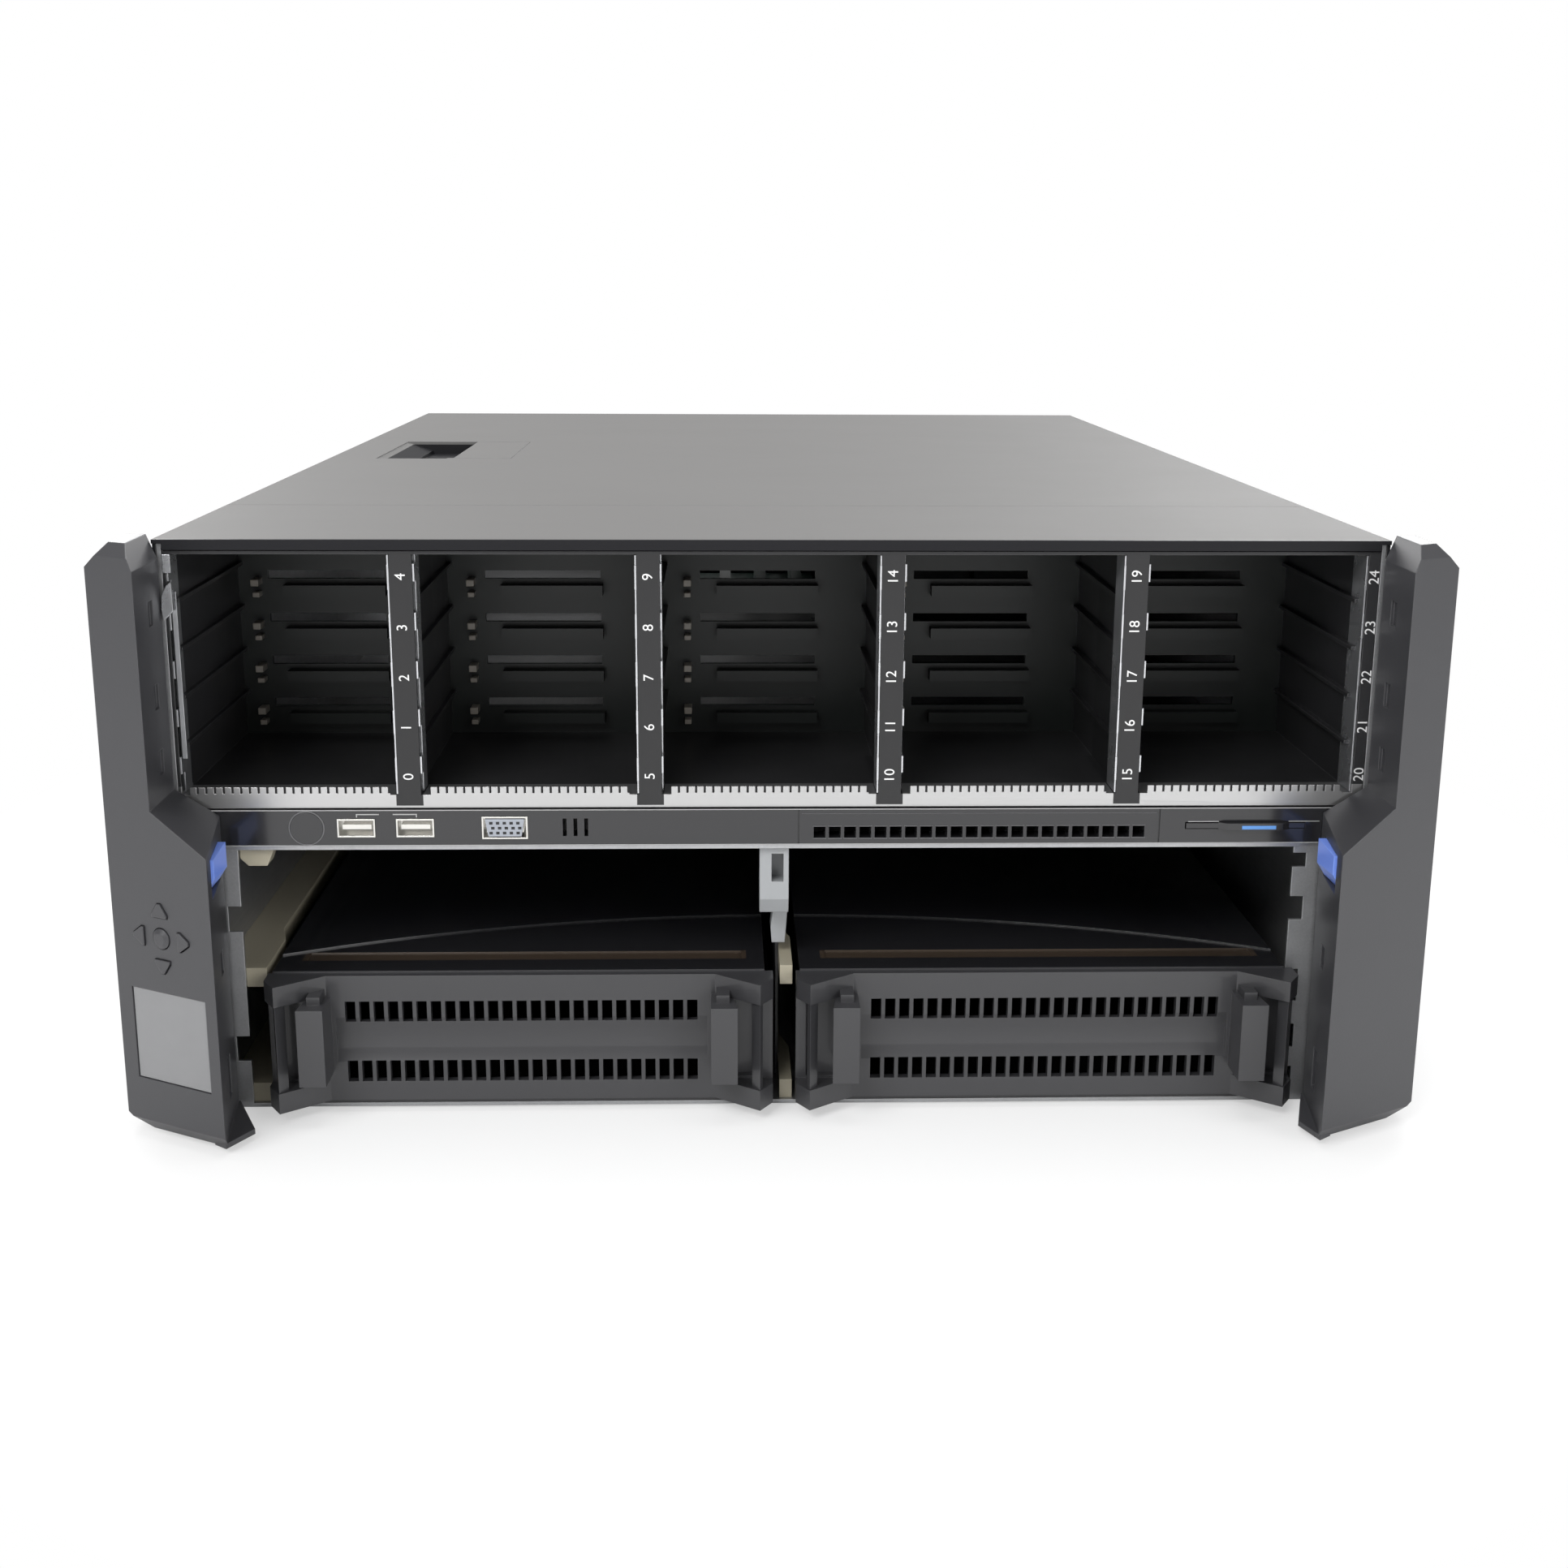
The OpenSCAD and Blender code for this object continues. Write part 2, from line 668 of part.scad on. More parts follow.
module info_tag() color(black) {
    block([tag_x, -2, tag_z], [tag_x + tag_w, tag_l, tag_z + tag_t]);
    // the pull at the front
    plate_z(tag_z - 0.4, tag_t + 0.8)
        polygon([
            [tag_x + 12, -2], [tag_x + 15, -4.2], [tag_x + 36, -4.2], [tag_x + 39, -2]
        ]);
}

// ---- ears ----

// The ear's outline seen from the front, drawn for the left ear
module ear_outline()
    polygon([
        [-ear_x, 9], [-ear_x, ear_top - 8.7], [-ear_x + 9, ear_top], [-ear_narrow_x - 3.5, ear_top],
        [-ear_narrow_x, ear_top - 9], [-ear_narrow_x, ear_split_z + 14],
        [-ear_inner_x, ear_split_z], [-ear_inner_x, ear_foot_z], [-ear_x + 9, ear_foot_z]
    ]);

// The ear's outline seen from above: the front face leans, the inner side tapers
module ear_plan()
    polygon([
        [-ear_x, -ear_back], [-ear_x, -ear_reach], [-ear_inner_x, -ear_front], [-ear_back_x, -ear_back]
    ]);

// Puts a shape drawn as distance along the face and height onto the ear's face,
// from depth d0 behind the face to depth d1
module on_face(d0, d1)
    translate([-ear_x, -ear_reach, 0]) rotate([0, 0, -ear_angle]) plate_y(d0, d1 - d0) children();

bevel = 5.5;

// foot_tip is how far the foot reaches past the wide inner edge
module ear_pod(foot_tip) {
    intersection() {
        plate_y(-ear_front - 1, ear_front + 1) ear_outline();
        plate_z(0, ear_top + 1) ear_plan();
        // the bevels along the lower and upper edges of the face
        translate([-ear_x, -ear_reach, 0]) rotate([0, 0, -ear_angle]) plate_x(-20, face_w + 60)
            polygon([
                [0, ear_foot_z + bevel], [bevel * 1.2, 0], [90, 0], [90, ear_top + 1],
                [bevel, ear_top + 1], [0, ear_top - bevel + 1]
            ]);
    }
    // the flat foot that points inwards
    plate_z(ear_foot_z, 2)
        polygon([
            [-ear_inner_x - 1, -ear_front + 4], [-ear_inner_x + foot_tip, -ear_front / 2 - 6],
            [-ear_back_x + 1, -3], [-ear_back_x - 4, -3], [-ear_inner_x - 6, -ear_front + 8]
        ]);
    // the bracket that runs back along the chassis side
    bracket_top = chassis_h - cover_lip - 2;
    block([-shell_x - bracket_t, 0, deck_z + 4], [-shell_x, bracket_l, bracket_top]);
    block([-max(ear_x - 3, shell_x + bracket_t), -ear_back, deck_z + 4],
          [-min(ear_x - 3, shell_x), 0, bracket_top]);
    block([-lower_x - bracket_t, 0, 12], [-lower_x, bracket_l, deck_z - 6]);
    block([-max(ear_x - 3, lower_x + bracket_t), -ear_back, 12], [-lower_x, 0, deck_z - 6]);
}

release_z = deck_z - 7.5;
release_h = 14;
release_l = 24;
release_y = ear_front / 2;

// Cut in the inner side for the release tab
module release_pocket()
    block([-ear_back_x - 6, -release_y - release_l / 2 - 1, release_z - fit],
          [-ear_inner_x + 6, -release_y + release_l / 2 + 1, release_z + release_h + fit]);

module ear_side_details() {
    // slots in the inner side
    for (p = [[14, 16], [62, 9]])
        block([-ear_back_x - 2, -0.55 * ear_front, p[0]], [-ear_inner_x + 4, -0.40 * ear_front, p[0] + p[1]]);
    for (z = [136, 160, 190])
        block([-ear_narrow_x - 1.2, -18, z], [-ear_narrow_x + 2, -12, z + 9]);
}

// An arrow outline pointing along +Y of its own plane
module chevron(w, grow)
    polygon([
        [-w / 2 - grow, -w / 3 - grow], [w / 2 + grow, -w / 3 - grow], [w / 2 + grow, -w / 3 + 1 + grow],
        [grow + 0.6, w / 2.6 + grow], [-grow - 0.6, w / 2.6 + grow], [-w / 2 - grow, -w / 3 + 1 + grow]
    ]);

nav_w = 7;
nav_r = 3.8;
nav_turn = [0, 180, 90, -90];
nav_off = [[0, nav_gap], [0, -nav_gap], [-nav_gap, 0], [nav_gap, 0]];

module nav_arrow_shape(k, grow)
    translate([nav_s + nav_off[k][0], nav_z + nav_off[k][1]]) rotate(nav_turn[k]) chevron(nav_w, grow);

module left_ear() color(charcoal) difference() {
    ear_pod(6.5);
    release_pocket();
    ear_side_details();
    // the display's window
    on_face(-1, 1.4) translate([lcd_s - fit, lcd_z - fit]) square(lcd_side + 2 * fit);
    for (k = [0 : 3]) on_face(-1, 3 + nav_travel) nav_arrow_shape(k, fit);
    on_face(-1, 3 + nav_travel) translate([nav_s, nav_z]) circle(r = nav_r + fit);
}

module right_ear() color(charcoal) mirror([1, 0, 0]) difference() {
    ear_pod(3.4);
    release_pocket();
    ear_side_details();
}

module lcd_window() color([0.55, 0.56, 0.57])
    on_face(0.5, 1.4) translate([lcd_s, lcd_z]) square(lcd_side);

module nav_arrow(k) color(charcoal) on_face(-0.7, 2.7) nav_arrow_shape(k, 0);

module nav_centre() color(charcoal)
    translate([-ear_x, -ear_reach, 0]) rotate([0, 0, -ear_angle]) {
        rod_y(nav_s, nav_z, nav_r, -0.4, 2.7);
        translate([nav_s, -0.4, nav_z]) rotate([90, 0, 0]) cylinder(r1 = nav_r, r2 = nav_r - 1.6, h = 0.9);
    }

module nav_up() nav_arrow(0);
module nav_down() nav_arrow(1);
module nav_left() nav_arrow(2);
module nav_right() nav_arrow(3);

release_travel = 3;

module ear_release() color(blue) {
    y0 = -release_y - release_l / 2;
    y1 = -release_y + release_l / 2;
    // the tab, its lower edge cut away towards the front
    intersection() {
        plate_z(release_z, release_h)
            polygon([
                [-ear_back_x - 1, y0], [-ear_inner_x - 0.5, y0],
                [-ear_inner_x - 2, y1], [-ear_back_x - 1, y1]
            ]);
        plate_y(y0, release_l)
            polygon([
                [-ear_back_x - 1, release_z], [-ear_back_x + 1, release_z],
                [-ear_inner_x - 0.5, release_z + 0.5 * release_h],
                [-ear_inner_x - 0.5, release_z + release_h], [-ear_back_x - 1, release_z + release_h]
            ]);
    }
}

module ear_release_left() ear_release();
module ear_release_right() mirror([1, 0, 0]) ear_release();

// ---- rear panel ----

vent_pitch = 8.1;
side_vent_x = -215.9;
tab_w = 10;
tab_drop = 9.5;
tab_hole_r = 2.4;
io_left = psu_left;
io_right = 212.6;

// A gap that keeps the sheets of the rear cage apart where they are spot welded
weld_gap = 0.1;

side_rows = 9;
side_pitch = (shell_top - 17.9 - deck_z - 26 - vent_hole) / (side_rows - 1);
vent_left = 36.6 - 13 * vent_pitch - vent_hole;
vent_z = shell_top - 23.9;
boss = [vent_left + 11 * vent_pitch - 1.15, vent_z + 6.95];
pass_through = [[-218.4, deck_z + 0.66 * upper_h], [-219, deck_z + 0.33 * upper_h]];

// The panel's strips are spot welded: seams run beside the bays and along their lower and upper edges
module panel_seams() {
    supply_side = psu_left - fit;
    manager_side = mm_right + fit;
    for (x = [supply_side - weld_gap, manager_side])
        rect([x, deck_z - 1], [x + weld_gap, shell_top + 1]);
    for (z = [psu_z0 - fit, io_z - fit, psu_z0 + 2 * psu_h + psu_gap + fit - weld_gap,
            io_z + io_h + fit - weld_gap])
        rect([supply_side - weld_gap, z], [shell_x + 1, z + weld_gap]);
    for (z = [mm_z - fit, mm_z + mm_h + fit - weld_gap])
        rect([-shell_x - 1, z], [manager_side + weld_gap, z + weld_gap]);
}

module rear_panel() color(steel) {
    plate_y(rear_in, sheet) difference() {
        union() {
            difference() {
                union() {
                    rect([-shell_x, deck_z], [shell_x, shell_top]);
                    for (s = [-1, 1]) translate([s * (shell_x - tab_w / 2), deck_z - tab_drop])
                        translate([-tab_w / 2, 0]) square([tab_w, tab_drop + 1]);
                }
                // vents
                hole_grid([vent_left, vent_z], [14, 2], [vent_pitch, vent_pitch], vent_hole);
            }
            translate(boss) circle(r = 3.9);
        }
        translate(boss) circle(r = 1.9);
        for (p = pass_through) translate(p) circle(r = 1.5);
        for (s = [-1, 1])
            translate([s * (shell_x - tab_w / 2), deck_z - tab_drop / 2]) circle(r = tab_hole_r);
        // power supply bay, with the interconnect module below it
        rect([psu_left - fit, psu_z0 - fit], [psu_right + fit, psu_z0 + 2 * psu_h + psu_gap + fit]);
        rect([io_left - fit, io_z - fit], [io_right + fit, io_z + io_h + fit]);
        // card slots and management module
        rect([lp_left, lp_bottom - 14], [lp_right, lp_bottom + lp_slot_h + 1.5]);
        rect([fh_left - 2, fh_bottom - 2], [fh_left + fh_slot_l + 4, fh_top]);
        rect([mm_left - fit, mm_z - fit], [mm_right + fit, mm_z + mm_h + fit]);
        for (i = [0 : 10])
            translate([mm_right - 12 - i * 8.7 - (i > 5 ? 4 : 0), mm_z + mm_h + 2]) square([6.6, 3]);
        // side vents
        hole_grid([side_vent_x, deck_z + 10.5], [2, 1], [vent_pitch, vent_pitch], vent_hole);
        for (i = [0, 1], j = [0 : side_rows - 1])
            translate([side_vent_x + i * vent_pitch, deck_z + 26 + j * side_pitch])
                square([vent_hole, 0.716 * side_pitch]);
        translate([side_vent_x + 3, deck_z + 19.5]) square([7, 2.6]);
        panel_seams();
    }
    // cage that carries the power supplies: an upright wall, shelves and a shelf under each module
    cage_end = psu_left - fit;
    cage_front = rear_in - psu_d - 4;
    cage_back = rear_in - weld_gap;
    difference() {
        block([cage_end - 1.2, cage_front, deck_top], [cage_end, cage_back, shell_top - sheet]);
        block([cage_end - 2, cage_front + 24, deck_top + 0.27 * upper_h],
              [cage_end + 1, rear_in - 60, shell_top - 0.26 * upper_h]);
    }
    shelves = [
        [psu_z0 - fit - shelf_t, cage_front],
        [psu_z0 + psu_h + (psu_gap - shelf_t) / 2, cage_front],
        [io_z - fit - shelf_t, rear_in - io_d]
    ];
    for (p = shelves)
        block([cage_end + weld_gap, p[1], p[0]], [shell_in, cage_back, p[0] + shelf_t]);
    mm_shelf = mm_z - fit - shelf_t;
    difference() {
        block([mm_left - 4, rear_in - mm_d, deck_top], [mm_right, cage_back, mm_shelf + shelf_t]);
        block([mm_left - 3, rear_in - mm_d - 1, deck_top - 1], [mm_right - 1, cage_back + 1, mm_shelf]);
    }
}

// ---- card slots ----

module card_slot_frames() color(steel) {
    lp_top = lp_bottom + lp_slot_h + 1.5;
    // recessed plate of the low profile slots
    plate_y(lp_back - sheet, sheet) difference() {
        rect([lp_left, lp_bottom - 7], [lp_right, lp_top]);
        for (i = [0 : lp_count - 1])
            translate([lp_x0 - i * lp_pitch - slot_w / 2, lp_bottom]) square([slot_w, lp_slot_h]);
        for (i = [0 : lp_count - 1], j = [0, 1, 2, 3, 4, 5, 7])
            translate([lp_x0 - (i + 0.5) * lp_pitch - 2.8, lp_bottom + 0.8 + j * lp_bar_pitch])
                square([5.6, lp_bar_hole]);
    }
    // pressed pips between the holes
    for (i = [0 : lp_count - 1], z = [1, 4.8])
        translate([lp_x0 - (i + 0.5) * lp_pitch, lp_back - 0.1, lp_bottom + 6 * lp_bar_pitch + z + 0.8])
            rotate([-90, 0, 0]) scale([1.5, 1, 1]) cylinder(r1 = 1.5, r2 = 0.9, h = 0.7, $fn = 24);
    // walls of the recess
    block([lp_left, lp_back, lp_bottom - 14], [lp_left + 1.2, chassis_d, lp_top]);
    block([lp_right - 1.2, lp_back, lp_bottom - 14], [lp_right, chassis_d, lp_top]);
    block([lp_left, lp_back, lp_top - 1.2], [lp_right, chassis_d, lp_top]);
    plate_x(lp_left, lp_right - lp_left)
        polygon([
            [lp_back - sheet, lp_bottom - 7], [lp_back, lp_bottom - 6], [chassis_d, lp_bottom - 12.8],
            [chassis_d, lp_bottom - 14], [rear_in, lp_bottom - 14]
        ]);
    // sprung catches at the foot of each slot
    for (i = [0 : lp_count - 1]) {
        x = lp_x0 - i * lp_pitch;
        difference() {
            block([x - 8, lp_back, lp_bottom - 6.5], [x + 8, lp_back + 5, lp_bottom - 0.9]);
            block([x - 5, lp_back + 1.4, lp_bottom - 4.5], [x + 5, lp_back + 6, lp_bottom]);
        }
    }
    // full height slots
    plate_y(rear_in - fh_recess, sheet) difference() {
        rect([fh_left - 2, fh_bottom - 2], [fh_left + fh_slot_l + 4, fh_top]);
        for (i = [0 : fh_count - 1])
            translate([fh_left, fh_bottom + i * fh_pitch]) square([fh_slot_l, fh_slot_h]);
        for (i = [0 : fh_count - 2]) translate([fh_left, fh_bottom + i * fh_pitch + fh_slot_h + 2.8]) {
            hole_grid([20, 0], [4, 1], [7.5, 0], 5.2);
            hole_grid([51, 0], [6, 1], [7.5, 0], 5.2);
            translate([14.8, 1]) square([1.8, 3.6]);
        }
    }
    // sprung clip beside each full height slot
    for (i = [0 : fh_count - 1]) {
        z = fh_bottom + i * fh_pitch + fh_slot_h / 2;
        plate_z(z - 4, 8)
            polygon([
                [fh_left + fh_slot_l + 0.3, rear_in - fh_recess + sheet - 0.2],
                [fh_left + fh_slot_l + 0.9, rear_in + 0.6],
                [fh_left + fh_slot_l + 1.8, rear_in + 0.6],
                [fh_left + fh_slot_l + 2.6, rear_in - fh_recess + sheet - 0.2]
            ]);
    }
    plate_y(rear_in - fh_recess + sheet, fh_recess) difference() {
        rect([fh_left - 2, fh_bottom - 2], [fh_left + fh_slot_l + 4, fh_top]);
        rect([fh_left - 0.8, fh_bottom - 0.8], [fh_left + fh_slot_l + 2.8, fh_top - 1.2]);
    }
}

filled_slots = [0, 1, 4];

module slot_fillers() color(galvanised)
    for (i = filled_slots) {
        x = lp_x0 - i * lp_pitch;
        plate_y(lp_back, 1) difference() {
            rect([x - slot_w / 2 - 1, lp_bottom - 0.6], [x + slot_w / 2 + 1, lp_bottom + lp_slot_h + 0.2]);
            for (j = [0 : 6])
                translate([x - 2.2, lp_bottom + 10 + j * filler_pitch]) square([4.4, 0.68 * filler_pitch]);
            hole_grid([x - 6, lp_bottom + lp_slot_h - 8], [2, 1], [7, 0], 4.4);
        }
        // pressed frame that stiffens the filler
        plate_y(lp_back + 1, 0.8) difference() {
            rect([x - 6, lp_bottom + 6], [x + 6, lp_bottom + lp_slot_h - 10]);
            rect([x - 4.2, lp_bottom + 8], [x + 4.2, lp_bottom + lp_slot_h - 12]);
        }
    }

// Threaded bushes in the rear panel, as places in X and depth under the shell's top
panel_bushes = [
    [40.8, 10.5], [40.7, 20.5], [-82.4, 10.5], [-126.8, 10],
    [-167.3, 10], [-207.6, 10], [-219, 17.5]
];
// Lower bushes, as places in X and share of the upper section's height
side_bushes = [[-219, 0.482], [-219, 0.142], [217.5, 0.115]];

// A pressed in threaded bush that stands proud of the sheet
module bush(x, z, y = chassis_d) difference() {
    rod_y(x, z, 2.5, y, y + 0.9);
    rod_y(x, z, 1.35, y - 1, y + 2);
}

// A domed screw head whose seat is at y, looking along +Y
module screw_head(x, y, z, r) {
    difference() {
        rod_y(x, z, r, y, y + 1.4);
        block([x - 0.3, y + 0.7, z - r * 0.6], [x + 0.3, y + 2, z + r * 0.6]);
        block([x - r * 0.6, y + 0.7, z - 0.3], [x + r * 0.6, y + 2, z + 0.3]);
    }
}

module chassis_screws() color(steel) {
    for (p = panel_bushes) bush(p[0], shell_top - p[1]);
    for (p = side_bushes) bush(p[0], deck_top + p[1] * upper_h);
    bush(lp_right - 5, lp_bottom + 0.34 * lp_slot_h, lp_back);
    screw_head(-82.4, chassis_d, shell_top - 20.5, 2.3);
    for (i = [0 : fh_count - 2])
        screw_head(fh_left + 9, rear_in - fh_recess + sheet, fh_bottom + i * fh_pitch + fh_slot_h + 5.4, 2);
    // thumbscrew of the card slot retainer
    rod_y(0.6, lp_bottom - 12.2, 3.4, chassis_d, chassis_d + 5);
}

// ---- modules at the rear ----

io_d = 120;
sfp_w = 14.2;
sfp_h = 9.6;
rj_w = 15.8;
rj_h = 10.8;
cage_l = 40;

// Socket shell behind a faceplate, open at the rear
module socket(x, z, w, h, l, wall) difference() {
    block([x - wall, chassis_d - l, z - wall], [x + w + wall, chassis_d - 1, z + h + wall]);
    block([x, chassis_d - l + 2, z], [x + w, chassis_d + 1, z + h]);
}

// Open tray behind a faceplate, with a board that carries the sockets
module module_tray(x0, x1, z0, h, d, board_top) {
    y0 = chassis_d - d;
    y1 = chassis_d - 1.2;
    block([x0, y0, z0], [x1, y1, z0 + 1]);
    for (x = [x0, x1 - 1]) block([x, y0, z0], [x + 1, y1, z0 + h]);
    block([x0 + 1, y0, board_top + z0 - 1.6], [x1 - 1, y1, board_top + z0]);
}

module io_module() color(steel) {
    z0 = io_z;
    sfp_x = [for (i = [0 : 3]) 188 - i * sfp_w];
    rj_x = [119.6, 103.6];
    plate_y(chassis_d - 1.2, 1.2) difference() {
        rect([io_left, z0], [io_right, z0 + io_h]);
        for (x = sfp_x) translate([x, z0 + 4]) square([sfp_w - 0.8, sfp_h]);
        for (x = rj_x) translate([x, z0 + 4]) square([rj_w - 0.8, rj_h]);
        translate([61.4, z0 + 5]) square([12.6, 6.6]);
    }
    for (x = sfp_x) socket(x, z0 + 4, sfp_w - 0.8, sfp_h, cage_l, 0.4);
    for (x = rj_x) socket(x, z0 + 4, rj_w - 0.8, rj_h, cage_l / 2, 0.4);
    socket(61.4, z0 + 5, 12.6, 6.6, 14, 0.4);
    block([63.4, chassis_d - 12.5, z0 + 7.4], [72, chassis_d - 1.5, z0 + 9.2]);
    // tray and board
    module_tray(io_left, io_right, z0, io_h, io_d, 3.6);
    // captive screw
    rod_y(93.4, z0 + io_h / 2, 4.4, chassis_d, chassis_d + 3);
}

mm_d = 110;

module management_module() color(charcoal) {
    z0 = mm_z;
    rj_x = [-126.8 + 1.4, -183 + 1.6];
    db_x = -146;
    plate_y(chassis_d - 1.2, 1.2) difference() {
        rect([mm_left, z0], [mm_right, z0 + mm_h]);
        for (x = rj_x) translate([x, z0 + 8]) square([rj_w - 0.8, rj_h]);
    }
    for (x = rj_x) socket(x, z0 + 8, rj_w - 0.8, rj_h, cage_l / 2, 0.4);
    // nine pin serial socket with its two jack posts
    plate_y(chassis_d, 4.5)
        polygon([
            [db_x - 9, z0 + 16.5], [db_x + 9, z0 + 16.5], [db_x + 7.4, z0 + 8], [db_x - 7.4, z0 + 8]
        ]);
    for (s = [-1, 1]) rod_y(db_x + s * 12.5, z0 + 12.2, 2.8, chassis_d, chassis_d + 5);
    // tray and board
    module_tray(mm_left, mm_right, z0, mm_h, mm_d, 7.6);
}

board_z = deck_top + 6;
board_back = chassis_d - 30;

module system_boards() color(board_green) {
    // midplane between the blades and the blowers
    plate_y(bay_d, 3) difference() {
        rect([-lower_in, sheet], [lower_in, deck_z]);
        for (n = [0 : 3]) translate([blower_cx[n], deck_z / 2]) octagon(70, 60, 12);
    }
    // blade connectors
    for (x = [-150, -50, 60, 160], z = [12, 66])
        block([x - 16, bay_d - 5, z], [x + 16, bay_d, z + 22]);
    // main board on its standoffs
    difference() {
        block([-84, board_back - 200, board_z], [42, board_back, board_z + 1.6]);
        for (x = [-76, 34], y = [board_back - 190, board_back - 10])
            translate([x, y, board_z - 1]) cylinder(r = 1.6, h = 4);
    }
    for (x = [-76, 34], y = [board_back - 190, board_back - 10])
        translate([x, y, deck_top]) difference() {
            cylinder(r = 3.4, h = board_z - deck_top);
            translate([0, 0, 1]) cylinder(r = 1.5, h = board_z);
        }
    // connectors of the low profile slots
    for (i = [0 : lp_count - 1])
        block([lp_x0 - i * lp_pitch - 3.6, board_back - 110, board_z + 1.6],
              [lp_x0 - i * lp_pitch + 3.6, board_back - 20, board_z + 12]);
    // riser with the full height slots' connectors
    riser = [lp_left - 1.5, lp_left - 0.2];
    block([riser[0], board_back - 130, deck_top], [riser[1], board_back - 100, board_z]);
    block([riser[0], board_back - 130, board_z], [riser[1], board_back - 10, fh_top + 1]);
    for (i = [0 : fh_count - 1])
        block([lp_left - 12, board_back - 115, fh_bottom + i * fh_pitch + 1],
              [riser[0], board_back - 25, fh_bottom + i * fh_pitch + 8]);
}

// ---- power supplies ----

// A power supply is drawn with its lower left corner, seen from the front, at
// the origin and its face at y = 0, then put in its place.
module at_psu(n) translate([psu_x[n], chassis_d, psu_z[n]]) children();

module fan_guard() {
    translate([fan_x, psu_h / 2]) difference() {
        union() {
            for (a = [45, -45]) rotate(a) square([fan_opening * 1.2, 2.6], center = true);
            circle(r = fan_hub_r);
        }
    }
}

// The mains inlet lies on its side, its cut corners towards the fan
module inlet_opening(mid) translate([inlet_x + inlet_w / 2, mid]) {
    w = (inlet_w - 6) / 2;
    h = (inlet_h - 8) / 2;
    polygon([[-w, -h], [w - 4, -h], [w, -h + 4], [w, h - 4], [w - 4, h], [-w, h]]);
}

module psu_case(n) color(steel) at_psu(n) {
    mid = psu_h / 2;
    in_z = mid - inlet_h / 2;
    difference() {
        block([0, -psu_d, 0], [psu_w, 0, psu_h]);
        // hollow behind the fan and the inlet
        block([psu_sheet, -psu_d + psu_sheet, psu_sheet],
              [psu_w - psu_sheet, -psu_sheet, psu_h - psu_sheet]);
        plate_y(-psu_sheet - 1, psu_sheet + 2) {
            difference() {
                translate([fan_x, mid]) octagon(fan_opening, fan_opening, 7);
                fan_guard();
            }
            inlet_opening(mid);
            // slot for the release lever
            translate([latch_x - 4.5, mid - 7.5]) square([6.5, 15]);
        }
        // exhaust slots at the far end
        for (i = [0 : 6])
            block([8 + i * 10, -psu_d - 1, 8], [14 + i * 10, -psu_d + 2, psu_h - 8]);
    }
    // fan frame with its bearing pin
    difference() {
        block([fan_x - fan_frame_w / 2, -psu_sheet - fan_frame_d, psu_sheet],
              [fan_x + fan_frame_w / 2, -psu_sheet, psu_h - psu_sheet]);
        rod_y(fan_x, mid, rotor_r + 0.8, -psu_sheet - fan_frame_d - 1, 0);
    }
    rod_y(fan_x, mid, fan_pin_r, -fan_frame_d - 2, -psu_sheet / 2);
    rod_y(fan_x, mid, fan_hub_r - 1, -psu_sheet - 0.6, -psu_sheet / 2);
    // fan screws
    for (sx = [-1, 1], sz = [-1, 1])
        screw_head(fan_x + sx * fan_screw_pitch / 2, 0, mid + sz * fan_screw_pitch / 2, 3);
    // mains inlet with its three blades
    difference() {
        block([inlet_x, -22, in_z], [inlet_x + inlet_w, 1.6, in_z + inlet_h]);
        plate_y(-17, 20) inlet_opening(mid);
    }
    for (p = [[2.2, 0], [-2.2, 6.8], [-2.2, -6.8]])
        block([inlet_x + inlet_w / 2 + p[0] - 2, -18, mid + p[1] - 0.9],
              [inlet_x + inlet_w / 2 + p[0] + 2, -5, mid + p[1] + 0.9]);
    // pin of the release lever
    translate([latch_x - 1.5, -latch_pin_y, psu_sheet / 2]) cylinder(r = latch_pin_r, h = psu_h - psu_sheet);
}

module psu_rotor(n) color(black) at_psu(n) {
    y0 = -psu_sheet - 0.6 - 0.6;
    difference() {
        union() {
            rod_y(fan_x, psu_h / 2, 7.4, y0 - 9, y0);
            for (a = [0 : 51.43 : 359])
                translate([fan_x, y0 - 4.5, psu_h / 2]) rotate([0, a, 0]) translate([6.5, 0, 0])
                    rotate([38, 0, 0]) translate([0, -0.6, -4.6]) cube([rotor_r - 7.2, 1.2, 9.2]);
        }
        rod_y(fan_x, psu_h / 2, fan_pin_r + run_fit, y0 - 10, y0 + 1);
        rod_y(fan_x, psu_h / 2, 5.6, y0 - 7.5, y0 - 1.4);
    }
}

// C shaped pull: the bar stands off the face on two sloping arms
module psu_handle(n) color([0.8, 0.82, 0.84, 0.7]) at_psu(n) {
    r = psu_handle_reach;
    z0 = 1.5;
    z1 = psu_h - 1.5;
    intersection() {
        plate_x(grip_x, grip_w)
            polygon([
                [0, z0], [4, z0], [r, z0 + 7], [r, z1 - 7], [4, z1], [0, z1], [0, z1 - 3],
                [3, z1 - 3.4], [r - 3, z1 - 9.6], [r - 3, z0 + 9.6], [3, z0 + 3.4], [0, z0 + 3]
            ]);
        // seen from above the inner side leans
        plate_z(0, psu_h)
            polygon([
                [grip_x, -1], [grip_x + grip_w, -1], [grip_x + grip_w, r + 1],
                [grip_x + 5, r + 1], [grip_x, 4]
            ]);
    }
    // the fabric strap wound round the bar
    plate_z((psu_h - strap_w) / 2, strap_w)
        polygon([
            [grip_x + 1, r - 4.5], [grip_x + grip_w + 2, r - 5.5], [grip_x + grip_w + 3.5, r - 3],
            [grip_x + grip_w + 3, r], [grip_x + grip_w - 1, r + strap_t], [grip_x + 4, r + strap_t],
            [grip_x, r - 2]
        ]);
}

